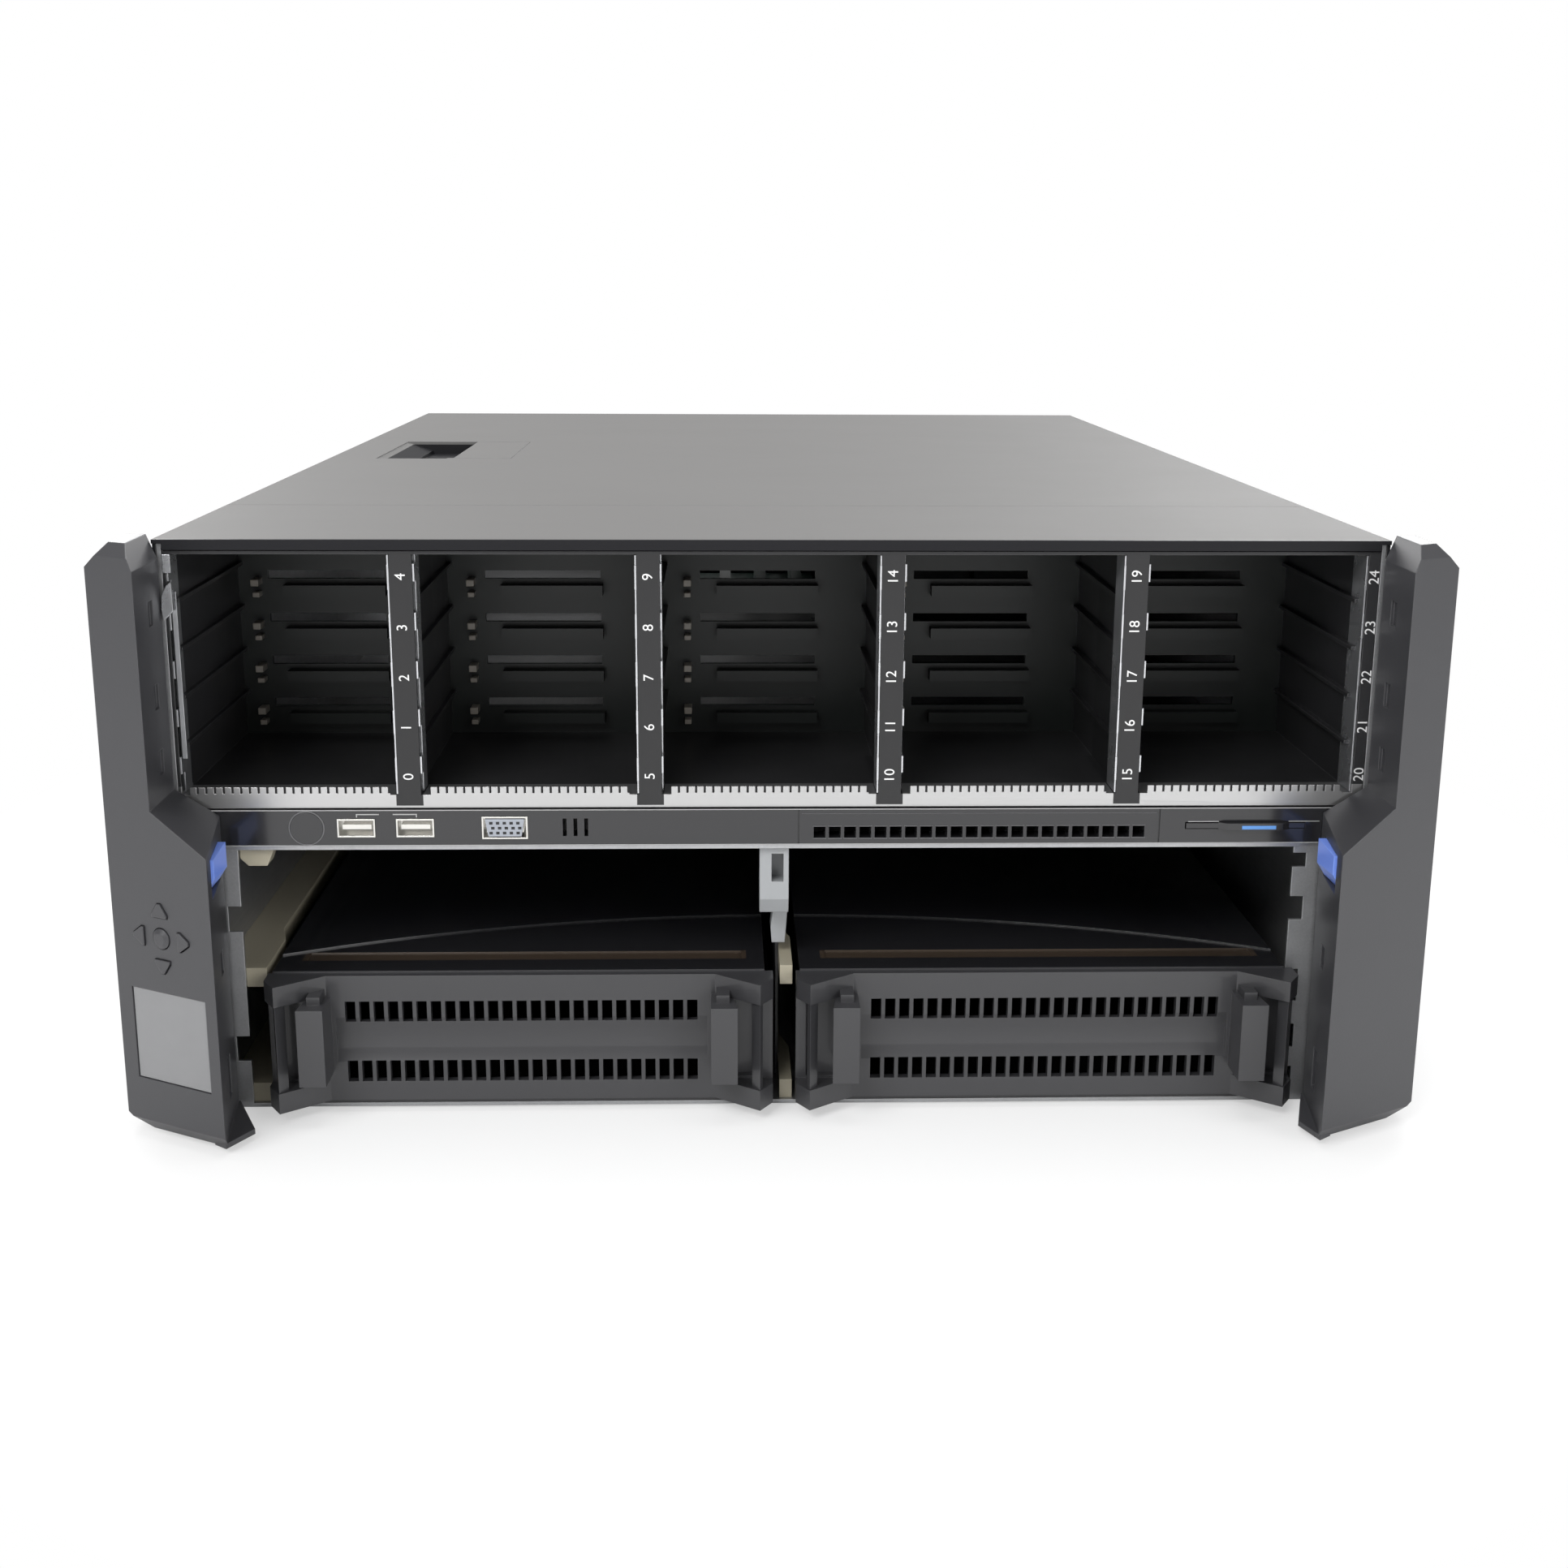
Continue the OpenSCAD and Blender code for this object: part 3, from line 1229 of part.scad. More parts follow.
module psu_latch(n) color(orange) at_psu(n) {
    mid = psu_h / 2;
    x = latch_x - 1.5;
    difference() {
        union() {
            translate([x, -latch_pin_y, mid - 6.5]) cylinder(r = 2.5, h = 13);
            // the lever and its bent tab
            plate_z(mid - 6.2, 12.4)
                polygon([
                    [x - 0.6, -latch_pin_y], [x + 0.6, -latch_pin_y], [x + 0.6, 5.4], [pad_x + 1, 5.4],
                    [pad_x + 1, 6.6], [x - 0.6, 6.6]
                ]);
            // the finger pad
            hull() {
                for (z = [mid - 5.6, mid + 5.6]) translate([pad_x, 8.8, z]) rotate([0, 90, 0])
                    cylinder(r = 4.4, h = pad_w, $fn = 24);
                for (z = [mid - 6, mid + 6]) translate([pad_x + 0.6, 11, z]) rotate([0, 90, 0])
                    cylinder(r = 3.6, h = pad_w - 2.4, $fn = 24);
            }
        }
        translate([x, -latch_pin_y, mid - 7]) cylinder(r = latch_pin_r + run_fit, h = 14);
    }
}

// ---- blowers ----

// A blower is drawn centred on x = 0 with its base at z = 0 and its face at y = 0
module at_blower(n) translate([blower_cx[n], lower_d, blower_z]) children();

window_z0 = 7;
window_z1 = 64;
window_x = [[-46, -17.5], [-3, 34]];
grip_cx = -6.5;
grip_out = 3.4;
latch_top = 29;
latch_foot = 11;
wheel_y = -blower_d + wheel_r + blower_wall + 6;

// The outline of the release pad, which narrows downwards
module latch_trapezoid(grow) translate([grip_cx, 0])
    polygon([
        [-latch_top / 2 + 4.6 - grow, blower_h - 3 + grow],
        [latch_top / 2 - 4.6 + grow, blower_h - 3 + grow],
        [latch_foot / 2 + grow * 0.8, blower_h - 14 - grow],
        [-latch_foot / 2 - grow * 0.8, blower_h - 14 - grow]
    ]);

module blower_housing(n) color(charcoal) at_blower(n) {
    w = blower_w / 2;
    t = blower_wall;
    difference() {
        block([-w, -blower_d, 0], [w, 0, blower_h]);
        block([-w + t, -blower_d + t, t], [w - t, -t - 3, blower_h - t]);
        // the face lies behind a raised rim with a sloping inner edge
        hull()
            for (p = [[-3, blower_rim + 1.5], [1, blower_rim - 0.6]])
                plate_y(p[0], 0.01) rect([-w + p[1], p[1]], [w - p[1], blower_h - p[1]]);
        // place of the release pad
        plate_y(-t - 4, t + 5) latch_trapezoid(fit);
        // louvre windows
        plate_y(-20, 21) for (x = window_x) rect([x[0], window_z0], [x[1], window_z1]);
        // inlets above and below the wheel
        translate([0, wheel_y, -1]) difference() {
            cylinder(r = wheel_r - 6, h = blower_h + 2);
            cylinder(r = 14, h = 8);
            for (a = [0, 60, 120]) rotate(a) translate([-wheel_r, -2, 0]) cube([2 * wheel_r, 4, 8]);
        }
    }
    // upright blades in the windows
    for (x = window_x, i = [1, 2]) {
        bx = x[0] + (x[1] - x[0]) * i / 3;
        block([bx - 0.7, -18, t / 2], [bx + 0.7, -3, window_z1 + 4]);
    }
    // guard wire behind the blades
    translate([-w + t / 2, -20, 33]) rotate([0, 90, 0]) cylinder(r = 0.8, h = 2 * w - t, $fn = 16);
    // grip column under the release, its edges bevelled at the front
    difference() {
        union() {
            plate_y(-t - 3, t + 3 + grip_out - 1) grip_outline(0);
            hull() {
                plate_y(grip_out - 1.01, 0.01) grip_outline(0);
                plate_y(grip_out - 0.01, 0.01) grip_outline(-1);
            }
        }
        plate_y(-t - 4, t + 4 + grip_out + 1) latch_trapezoid(fit);
        // the face below the pad lies a little deeper than its frame
        plate_y(grip_out - 0.6, 1) translate([grip_cx, 0])
            polygon([
                [-14, blower_h - 17.6], [14, blower_h - 17.6], [14, blower_h - 50], [-14, blower_h - 50]
            ]);
    }
    // raised strip at the foot with its two small slots
    difference() {
        plate_y(-1, 2.4) translate([grip_cx - 4, 0])
            polygon([[-10.5, 0.8], [10.5, 0.8], [8, 5.6], [-8, 5.6]]);
        for (x = [-3.4, 3.4]) plate_y(0.6, 1) translate([grip_cx - 4 + x, 3.2]) octagon(4.4, 1.8, 0.7);
    }
    // pressed arrow in the upper corner
    plate_y(-3.1, 0.5) difference() {
        polygon([[43, 88], [43, 94], [37.4, 91]]);
        polygon([[42.3, 89.2], [42.3, 92.8], [39, 91]]);
    }
    // axle of the wheel
    translate([0, wheel_y, t / 2]) cylinder(r = axle_r, h = blower_h / 2 + wheel_h / 2 - t / 2 - 8);
    translate([0, wheel_y, t / 2]) cylinder(r = 12, h = blower_h / 2 - wheel_h / 2 - wheel_gap - t / 2);
}

// The grip column's outline, grown by g
module grip_outline(g) translate([grip_cx, 0]) offset(delta = g)
    polygon([
        [-latch_top / 2, blower_h], [latch_top / 2, blower_h], [8.5, blower_h - 16.5],
        [8.5, blower_h - 42.5], [5.5, blower_h - 45.5], [-5.5, blower_h - 45.5],
        [-8.5, blower_h - 42.5], [-8.5, blower_h - 16.5]
    ]);

module blower_latch(n) color(orange) at_blower(n) {
    t = blower_wall;
    intersection() {
        plate_y(-t - 2.8, t + 2.8 + grip_out + 1) latch_trapezoid(0);
        // the pad's upper half leans, its lower half stands
        plate_x(-latch_top, 2 * latch_top)
            polygon([
                [-t - 3, 0], [-t - 3, blower_h], [grip_out - 1.4, blower_h - 2],
                [grip_out + 0.8, blower_h - 8.5], [grip_out + 0.8, 0]
            ]);
    }
    // stem that carries the pad
    block([grip_cx - 3, -14, blower_h - 10], [grip_cx + 3, -t - 2.8, blower_h - 6]);
}

module blower_wheel(n) color(black) at_blower(n) translate([0, wheel_y, blower_h / 2 - wheel_h / 2]) {
    r = min(wheel_r, blower_w / 2 - blower_wall - 2);
    difference() {
        union() {
            // centre disc, hub and the two end rings
            translate([0, 0, wheel_h / 2 - 1]) cylinder(r = r, h = 2);
            cylinder(r = hub_r, h = wheel_h - 10);
            for (z = [0, wheel_h - 2.4]) translate([0, 0, z]) difference() {
                cylinder(r = r, h = 2.4);
                translate([0, 0, -1]) cylinder(r = r - 7, h = 5);
            }
            for (i = [0 : vanes - 1]) rotate(i * 360 / vanes)
                translate([r - 7, 0, 0]) rotate(35) translate([0.6, -0.5, 0]) cube([6, 1, wheel_h - 1]);
        }
        translate([0, 0, -1]) cylinder(r = axle_r + run_fit, h = wheel_h + 2);
    }
}

// ---- assembly ----

module placed() translate([0, -mid_y, 0]) children();

placed() base_tray();
placed() upper_shell();
placed() rear_panel();
placed() card_slot_frames();
placed() front_cover();
placed() drive_cage();
placed() drive_backplane();
placed() system_boards();
placed() bay_guides();
placed() bay_divider();
placed() left_ear();
placed() right_ear();
placed() lcd_window();
placed() control_strip();
placed() front_ports();
placed() slot_fillers();
placed() chassis_screws();
placed() io_module();
placed() management_module();
placed() top_cover();
placed() cover_latch();
placed() blank_left();
placed() blank_right();
placed() info_tag();
placed() power_button();
placed() nav_centre();
placed() nav_up();
placed() nav_down();
placed() nav_left();
placed() nav_right();
placed() ear_release_left();
placed() ear_release_right();
for (n = [0 : 3]) {
    placed() psu_case(n);
    placed() psu_rotor(n);
    placed() psu_handle(n);
    placed() psu_latch(n);
    placed() blower_housing(n);
    placed() blower_latch(n);
    placed() blower_wheel(n);
}
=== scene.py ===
"""The looks of a rack chassis for blade modules: finishes, fine trim and light.

Lengths are in millimetres from the chassis's own planes until spot() turns them
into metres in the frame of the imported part.
"""
import json
import math

import bmesh
import bpy
from mathutils import Euler, Matrix, Vector

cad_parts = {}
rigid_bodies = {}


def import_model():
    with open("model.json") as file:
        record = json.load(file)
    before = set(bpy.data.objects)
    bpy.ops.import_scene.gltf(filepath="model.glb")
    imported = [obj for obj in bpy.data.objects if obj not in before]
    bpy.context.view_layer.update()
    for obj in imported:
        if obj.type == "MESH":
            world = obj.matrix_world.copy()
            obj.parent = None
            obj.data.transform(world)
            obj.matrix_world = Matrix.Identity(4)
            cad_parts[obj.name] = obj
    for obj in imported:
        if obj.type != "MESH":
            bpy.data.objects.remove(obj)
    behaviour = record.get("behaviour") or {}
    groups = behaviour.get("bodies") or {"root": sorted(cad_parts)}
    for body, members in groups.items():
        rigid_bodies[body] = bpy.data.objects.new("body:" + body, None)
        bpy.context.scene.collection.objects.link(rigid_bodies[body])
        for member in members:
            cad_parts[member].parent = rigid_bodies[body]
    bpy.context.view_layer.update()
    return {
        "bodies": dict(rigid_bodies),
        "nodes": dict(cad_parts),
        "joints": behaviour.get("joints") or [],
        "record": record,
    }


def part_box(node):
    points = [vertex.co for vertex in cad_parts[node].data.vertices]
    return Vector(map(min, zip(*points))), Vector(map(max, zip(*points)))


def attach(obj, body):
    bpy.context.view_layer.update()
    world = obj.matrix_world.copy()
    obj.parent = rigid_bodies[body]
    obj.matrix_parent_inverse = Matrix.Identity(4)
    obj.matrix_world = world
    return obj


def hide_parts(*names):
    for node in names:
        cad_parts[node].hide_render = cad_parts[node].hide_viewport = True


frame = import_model()
nodes = frame["nodes"]

MM = 0.001
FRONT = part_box("drive_cage")[0].y / MM
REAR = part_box("rear_panel")[1].y / MM
DEPTH = REAR - FRONT


def spot(x, y, z):
    """A point in metres: x from the middle, y behind the front plane, z over the base."""
    return Vector((x, y + FRONT, z)) * MM


def box_mm(node):
    """A CAD node's corners, measured as spot() takes them."""
    low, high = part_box(node)
    shift = Vector((0, FRONT, 0))
    return low / MM - shift, high / MM - shift


# ---- shared shader effects ----

def group(name, inputs, outputs):
    """An empty node group with float inputs (name, value), vector inputs and outputs."""
    tree = bpy.data.node_groups.new(name, "ShaderNodeTree")
    for label, value in inputs:
        kind = "NodeSocketFloat" if isinstance(value, (int, float)) else "NodeSocketVector"
        tree.interface.new_socket(label, in_out="INPUT", socket_type=kind).default_value = value
    for label, kind in outputs:
        tree.interface.new_socket(label, in_out="OUTPUT", socket_type="NodeSocket" + kind)
    return tree, tree.nodes.new("NodeGroupInput"), tree.nodes.new("NodeGroupOutput")


def add(tree, kind, operation=None, **values):
    """A shader node with its operation and settings; keys that name a socket set its value."""
    node = tree.nodes.new("ShaderNode" + kind)
    if operation:
        node.operation = operation
    for key, value in values.items():
        if key.startswith("at_"):
            node.inputs[int(key[3:])].default_value = value
        elif key in node.inputs:
            node.inputs[key].default_value = value
        else:
            setattr(node, key, value)
    return node


def join(tree, *pairs):
    """Links (output, input) pairs."""
    for output, entry in pairs:
        tree.links.new(output, entry)


def soft_edges():
    """Rounds edges in the shading and gives a mask of them."""
    tree, entry, out = group("soft_edges", [("Radius", 0.0004)], [("Normal", "Vector"), ("Edge", "Float")])
    bevel = add(tree, "Bevel", samples=6)
    flat = add(tree, "NewGeometry")
    dot = add(tree, "VectorMath", "DOT_PRODUCT")
    spread = add(tree, "MapRange", **{"From Min": 0.995, "From Max": 0.90})
    join(tree, (entry.outputs["Radius"], bevel.inputs["Radius"]),
         (bevel.outputs[0], dot.inputs[0]), (flat.outputs["Normal"], dot.inputs[1]),
         (dot.outputs["Value"], spread.inputs["Value"]),
         (spread.outputs[0], out.inputs["Edge"]), (bevel.outputs[0], out.inputs["Normal"]))
    return tree


def speckle():
    """Fine moulded or powder coat texture: a height and a tone that varies round 1."""
    tree, entry, out = group("speckle", [("Size", 0.001), ("Tone", 0.1)],
                             [("Height", "Float"), ("Tone", "Float")])
    place = add(tree, "TexCoord")
    scale = add(tree, "Math", "DIVIDE", at_0=1.0)
    fine = add(tree, "TexNoise", Detail=2.0, Roughness=0.6)
    wide = add(tree, "TexNoise", Scale=9.0, Detail=3.0)
    mix = add(tree, "Math", "MULTIPLY_ADD", at_1=0.5)
    half = add(tree, "Math", "MULTIPLY", at_1=0.5)
    centre = add(tree, "Math", "SUBTRACT", at_1=0.5)
    tone = add(tree, "Math", "MULTIPLY_ADD", at_2=1.0)
    join(tree, (entry.outputs["Size"], scale.inputs[1]), (scale.outputs[0], fine.inputs["Scale"]),
         (place.outputs["Object"], fine.inputs["Vector"]), (place.outputs["Object"], wide.inputs["Vector"]),
         (fine.outputs[0], half.inputs[0]), (wide.outputs[0], mix.inputs[0]), (half.outputs[0], mix.inputs[2]),
         (mix.outputs[0], centre.inputs[0]), (centre.outputs[0], tone.inputs[0]),
         (entry.outputs["Tone"], tone.inputs[1]),
         (fine.outputs[0], out.inputs["Height"]), (tone.outputs[0], out.inputs["Tone"]))
    return tree


def rolled():
    """Rolled sheet: long faint streaks with soft blotches."""
    tree, entry, out = group("rolled", [("Stretch", (1.0, 60.0, 60.0)), ("Tone", 0.2)],
                             [("Height", "Float"), ("Tone", "Float")])
    place = add(tree, "TexCoord")
    stretch = add(tree, "VectorMath", "MULTIPLY")
    streak = add(tree, "TexNoise", Scale=22.0, Detail=4.0, Roughness=0.65)
    blotch = add(tree, "TexVoronoi", Scale=140.0, feature="SMOOTH_F1", Smoothness=0.8)
    mix = add(tree, "Math", "MULTIPLY_ADD", at_1=0.35)
    centre = add(tree, "Math", "SUBTRACT", at_1=0.6)
    tone = add(tree, "Math", "MULTIPLY_ADD", at_2=1.0)
    join(tree, (place.outputs["Object"], stretch.inputs[0]), (entry.outputs["Stretch"], stretch.inputs[1]),
         (stretch.outputs[0], streak.inputs["Vector"]), (place.outputs["Object"], blotch.inputs["Vector"]),
         (blotch.outputs["Distance"], mix.inputs[0]), (streak.outputs[0], mix.inputs[2]),
         (mix.outputs[0], centre.inputs[0]), (centre.outputs[0], tone.inputs[0]),
         (entry.outputs["Tone"], tone.inputs[1]),
         (streak.outputs[0], out.inputs["Height"]), (tone.outputs[0], out.inputs["Tone"]))
    return tree


def handling():
    """Soft patches where hands and cloths have been, for roughness."""
    tree, entry, out = group("handling", [("Base", 0.4), ("Spread", 0.15)], [("Roughness", "Float")])
    place = add(tree, "TexCoord")
    patch = add(tree, "TexNoise", Scale=16.0, Detail=5.0, Roughness=0.6)
    centre = add(tree, "Math", "SUBTRACT", at_1=0.5)
    value = add(tree, "Math", "MULTIPLY_ADD")
    join(tree, (place.outputs["Object"], patch.inputs["Vector"]), (patch.outputs[0], centre.inputs[0]),
         (centre.outputs[0], value.inputs[0]), (entry.outputs["Spread"], value.inputs[1]),
         (entry.outputs["Base"], value.inputs[2]), (value.outputs[0], out.inputs["Roughness"]))
    return tree


def inside_box():
    """A mask that is 1 inside the box from Low to High, in the piece's own metres."""
    tree, entry, out = group("inside_box", [("Low", (0.0, 0.0, 0.0)), ("High", (0.0, 0.0, 0.0))],
                             [("Mask", "Float")])
    place = add(tree, "TexCoord")
    gaps = []
    for first, second in ((place.outputs["Object"], entry.outputs["Low"]),
                          (entry.outputs["High"], place.outputs["Object"])):
        gap = add(tree, "VectorMath", "SUBTRACT")
        parts = add(tree, "SeparateXYZ")
        join(tree, (first, gap.inputs[0]), (second, gap.inputs[1]), (gap.outputs[0], parts.inputs[0]))
        gaps += list(parts.outputs)
    least = gaps[0]
    for gap in gaps[1:]:
        smaller = add(tree, "Math", "MINIMUM")
        join(tree, (least, smaller.inputs[0]), (gap, smaller.inputs[1]))
        least = smaller.outputs[0]
    step = add(tree, "Math", "GREATER_THAN", at_1=0.0)
    join(tree, (least, step.inputs[0]), (step.outputs[0], out.inputs["Mask"]))
    return tree


EFFECTS = {make.__name__: make() for make in (soft_edges, speckle, rolled, handling, inside_box)}


# ---- materials ----

class Finish:
    """One material: a Principled shader fed by effects, with zones of other colours."""

    def __init__(self, name, colour, roughness=0.5, metallic=0.0, **plain):
        self.made = bpy.data.materials.new(name)
        self.made.use_nodes = True
        self.tree = self.made.node_tree
        self.shader = self.tree.nodes["Principled BSDF"]
        for key, value in plain.items():
            self.shader.inputs[key.replace("_", " ")].default_value = value
        base = add(self.tree, "RGB")
        base.outputs[0].default_value = (*colour, 1.0)
        self.colour = base.outputs[0]
        self.roughness = roughness
        self.metallic = metallic
        self.metal_out = None
        self.rough_out = None
        self.heights = []
        self.edge = None

    def effect(self, name, **values):
        node = add(self.tree, "Group")
        node.node_tree = EFFECTS[name]
        for key, value in values.items():
            node.inputs[key.capitalize()].default_value = value
        return node

    def textured(self, effect, amount, tone=0.15, **values):
        """Adds an effect's height to the bump and its tone to the colour."""
        node = self.effect(effect, tone=tone, **values)
        shade = add(self.tree, "VectorMath", "SCALE")
        join(self.tree, (self.colour, shade.inputs[0]), (node.outputs["Tone"], shade.inputs["Scale"]))
        self.colour = shade.outputs[0]
        self.heights.append((node.outputs["Height"], amount))
        return self

    def edge_wear_and_highlight(self, radius=0.4, colour=None, amount=0.5):
        """Rounded edges, and where a colour is given, edges painted in it: partly wear, partly painted highlight along
        the edges.
        """
        node = self.effect("soft_edges", radius=radius * MM)
        self.edge = node.outputs["Normal"]
        if colour:
            mask = add(self.tree, "Math", "MULTIPLY", at_1=amount)
            join(self.tree, (node.outputs["Edge"], mask.inputs[0]))
            self.over(mask.outputs[0], colour)
        return self

    def handled(self, spread=0.15):
        node = self.effect("handling", base=self.roughness, spread=spread)
        self.rough_out = node.outputs["Roughness"]
        return self

    def over(self, mask, colour, roughness=None, metallic=None):
        """Lays another colour, and roughness or metalness if given, where mask is 1."""
        mix = add(self.tree, "Mix", data_type="RGBA")
        mix.inputs[7].default_value = (*colour, 1.0)
        join(self.tree, (mask, mix.inputs[0]), (self.colour, mix.inputs[6]))
        self.colour = mix.outputs[2]
        if roughness is not None:
            self.rough_out = self._value(mask, self.rough_out, self.roughness, roughness)
        if metallic is not None:
            self.metal_out = self._value(mask, self.metal_out, self.metallic, metallic)
        return self

    def _value(self, mask, old, plain, new):
        mix = add(self.tree, "Mix", data_type="FLOAT")
        mix.inputs[2].default_value = plain
        mix.inputs[3].default_value = new
        join(self.tree, (mask, mix.inputs[0]))
        if old:
            join(self.tree, (old, mix.inputs[2]))
        return mix.outputs[0]

    def zone(self, low, high, colour, roughness=None, metallic=None):
        """Another colour inside a box, in millimetres as spot() takes them."""
        node = self.effect("inside_box", low=spot(*low), high=spot(*high))
        return self.over(node.outputs["Mask"], colour, roughness, metallic)

    def done(self):
        """Links everything up and returns the material."""
        join(self.tree, (self.colour, self.shader.inputs["Base Color"]))
        if self.rough_out:
            join(self.tree, (self.rough_out, self.shader.inputs["Roughness"]))
        else:
            self.shader.inputs["Roughness"].default_value = self.roughness
        if self.metal_out:
            join(self.tree, (self.metal_out, self.shader.inputs["Metallic"]))
        else:
            self.shader.inputs["Metallic"].default_value = self.metallic
        normal = self.edge
        for height, amount in self.heights:
            bump = add(self.tree, "Bump", Strength=1.0, Distance=amount * MM)
            join(self.tree, (height, bump.inputs["Height"]))
            if normal:
                join(self.tree, (normal, bump.inputs["Normal"]))
            normal = bump.outputs[0]
        if normal:
            join(self.tree, (normal, self.shader.inputs["Normal"]))
        return self.made


BLACK = (0.006, 0.006, 0.007)
DARK = (0.016, 0.016, 0.018)
STEEL = (0.19, 0.192, 0.20)
BRIGHT = (0.62, 0.62, 0.62)


def galvanised(name="galvanised"):
    """Bright zinc plated sheet, its brighter edges a painted highlight."""
    return Finish(name, (0.42, 0.425, 0.435), 0.38, 0.85).textured(
        "rolled", 0.02, 0.35, stretch=(60.0, 1.0, 60.0)).edge_wear_and_highlight(0.3, BRIGHT, 0.4).handled(0.2)


def plated(name="plated"):
    """Satin grey plate of the rear panel; its near white edge colour is a painted highlight."""
    return Finish(name, STEEL, 0.42, 0.7).textured(
        "rolled", 0.012, 0.12, stretch=(1.0, 60.0, 60.0)).edge_wear_and_highlight(0.35, (0.75, 0.75, 0.76), 0.6).handled(0.12)


def cover_paint():
    """Satin textured paint of the covers."""
    return Finish("cover_paint", (0.150, 0.148, 0.146), 0.62, Specular_IOR_Level=0.1).textured(
        "speckle", 0.02, 0.12, size=0.0011).edge_wear_and_highlight(0.4, (0.24, 0.24, 0.24), 0.6).handled(0.08)


def charcoal(name="charcoal_plastic", colour=(0.040, 0.040, 0.044), **plain):
    # the lighter edge colour is a painted highlight
    return Finish(name, colour, 0.42, **plain).textured(
        "speckle", 0.02, 0.16, size=0.0008).edge_wear_and_highlight(0.6, (0.085, 0.085, 0.09), 0.55).handled(0.12)


def gloss_black(name="gloss_black"):
    return Finish(name, (0.014, 0.014, 0.016), 0.16, Coat_Weight=0.3, Coat_Roughness=0.08).textured(
        "speckle", 0.004, 0.2, size=0.002).edge_wear_and_highlight(0.3, (0.03, 0.03, 0.03), 0.5).handled(0.06)


def plastic(name, colour, roughness=0.35, edge=None):
    """A moulded plastic with soft edges, painted lighter along them as a highlight."""
    bright = edge or tuple(min(1.0, c * 1.5 + 0.02) for c in colour)
    return Finish(name, colour, roughness).textured(
        "speckle", 0.01, 0.08, size=0.001).edge_wear_and_highlight(0.5, bright, 0.4).handled(0.08)


def nickel(name="nickel"):
    return Finish(name, (0.66, 0.65, 0.62), 0.22, 1.0).textured(
        "speckle", 0.01, 0.15, size=0.0006).edge_wear_and_highlight(0.2).handled(0.1)


def dress(material, *names):
    """Gives CAD nodes their material."""
    for name in names:
        slots = nodes[name].data.materials
        slots.clear()
        slots.append(material)


# ---- meshes ----

def slab(bm, low, high, bevel=0.0):
    """A block between two corners in millimetres, its edges chamfered."""
    made = bmesh.ops.create_cube(bm, size=1.0)["verts"]
    a, b = spot(*low), spot(*high)
    for v in made:
        v.co = Vector(a[i] + (b[i] - a[i]) * (v.co[i] + 0.5) for i in range(3))
    if bevel:
        edges = {e for v in made for e in v.link_edges}
        bmesh.ops.bevel(bm, geom=list(edges), offset=bevel * MM, segments=2, affect="EDGES", profile=0.5)
    return made


def prism(bm, outline, plane, start, end):
    """Extrudes a closed outline. plane is "xy", "xz" or "yz"; start and end lie on the third axis."""
    def point(a, b, c):
        return spot(*{"xy": (a, b, c), "xz": (a, c, b), "yz": (c, a, b)}[plane])
    near = [bm.verts.new(point(a, b, start)) for a, b in outline]
    far = [bm.verts.new(point(a, b, end)) for a, b in outline]
    count = len(outline)
    faces = [bm.faces.new(near), bm.faces.new(far[::-1])]
    for i in range(count):
        faces.append(bm.faces.new((near[i], far[i], far[(i + 1) % count], near[(i + 1) % count])))
    bmesh.ops.recalc_face_normals(bm, faces=faces)
    return near + far


def ring(x, z, radius, count=32):
    """Points round a circle in the plane of the front."""
    return [(x + radius * math.cos(2 * math.pi * i / count), z + radius * math.sin(2 * math.pi * i / count))
            for i in range(count)]


def lathe(bm, x, z, profile, count=32):
    """Turns a profile of (radius, y) about a line along Y through x, z. A radius of 0 closes an end."""
    rings = []
    for radius, y in profile:
        if radius == 0:
            rings.append([bm.verts.new(spot(x, y, z))])
        else:
            rings.append([bm.verts.new(spot(a, y, b)) for a, b in ring(x, z, radius, count)])
    faces = []
    for one, two in zip(rings, rings[1:]):
        for i in range(count):
            j = (i + 1) % count
            corners = [one[i % len(one)], one[j % len(one)], two[j % len(two)], two[i % len(two)]]
            faces.append(bm.faces.new(list(dict.fromkeys(corners))))
    bmesh.ops.recalc_face_normals(bm, faces=faces)


def frame_ring(bm, outer, inner, start, end):
    """A flat frame in the plane of the front between two outlines with as many points each."""
    count = len(outer)
    rows = [[bm.verts.new(spot(x, y, z)) for x, z in outline]
            for outline, y in ((outer, start), (outer, end), (inner, end), (inner, start))]
    faces = []
    for one, two in zip(rows, rows[1:] + rows[:1]):
        for i in range(count):
            j = (i + 1) % count
            faces.append(bm.faces.new((one[i], one[j], two[j], two[i])))
    bmesh.ops.recalc_face_normals(bm, faces=faces)


def corners(x0, z0, x1, z1, radius=0.0, steps=5):
    """The outline of a rectangle in the plane of the front, its corners rounded."""
    if not radius:
        return [(x0, z0), (x1, z0), (x1, z1), (x0, z1)]
    points = []
    for x, z, turn in ((x1 - radius, z0 + radius, -90), (x1 - radius, z1 - radius, 0),
                       (x0 + radius, z1 - radius, 90), (x0 + radius, z0 + radius, 180)):
        for k in range(steps + 1):
            a = math.radians(turn + 90 * k / steps)
            points.append((x + radius * math.cos(a), z + radius * math.sin(a)))
    return points


def rim(bm, low, high, width, start, end, radius=0.0):
    """A frame round a rectangle, as wide as width inwards."""
    inner = max(radius - width, 0.15) if radius else 0.0
    frame_ring(bm, corners(*low, *high, radius),
               corners(low[0] + width, low[1] + width, high[0] - width, high[1] - width, inner), start, end)


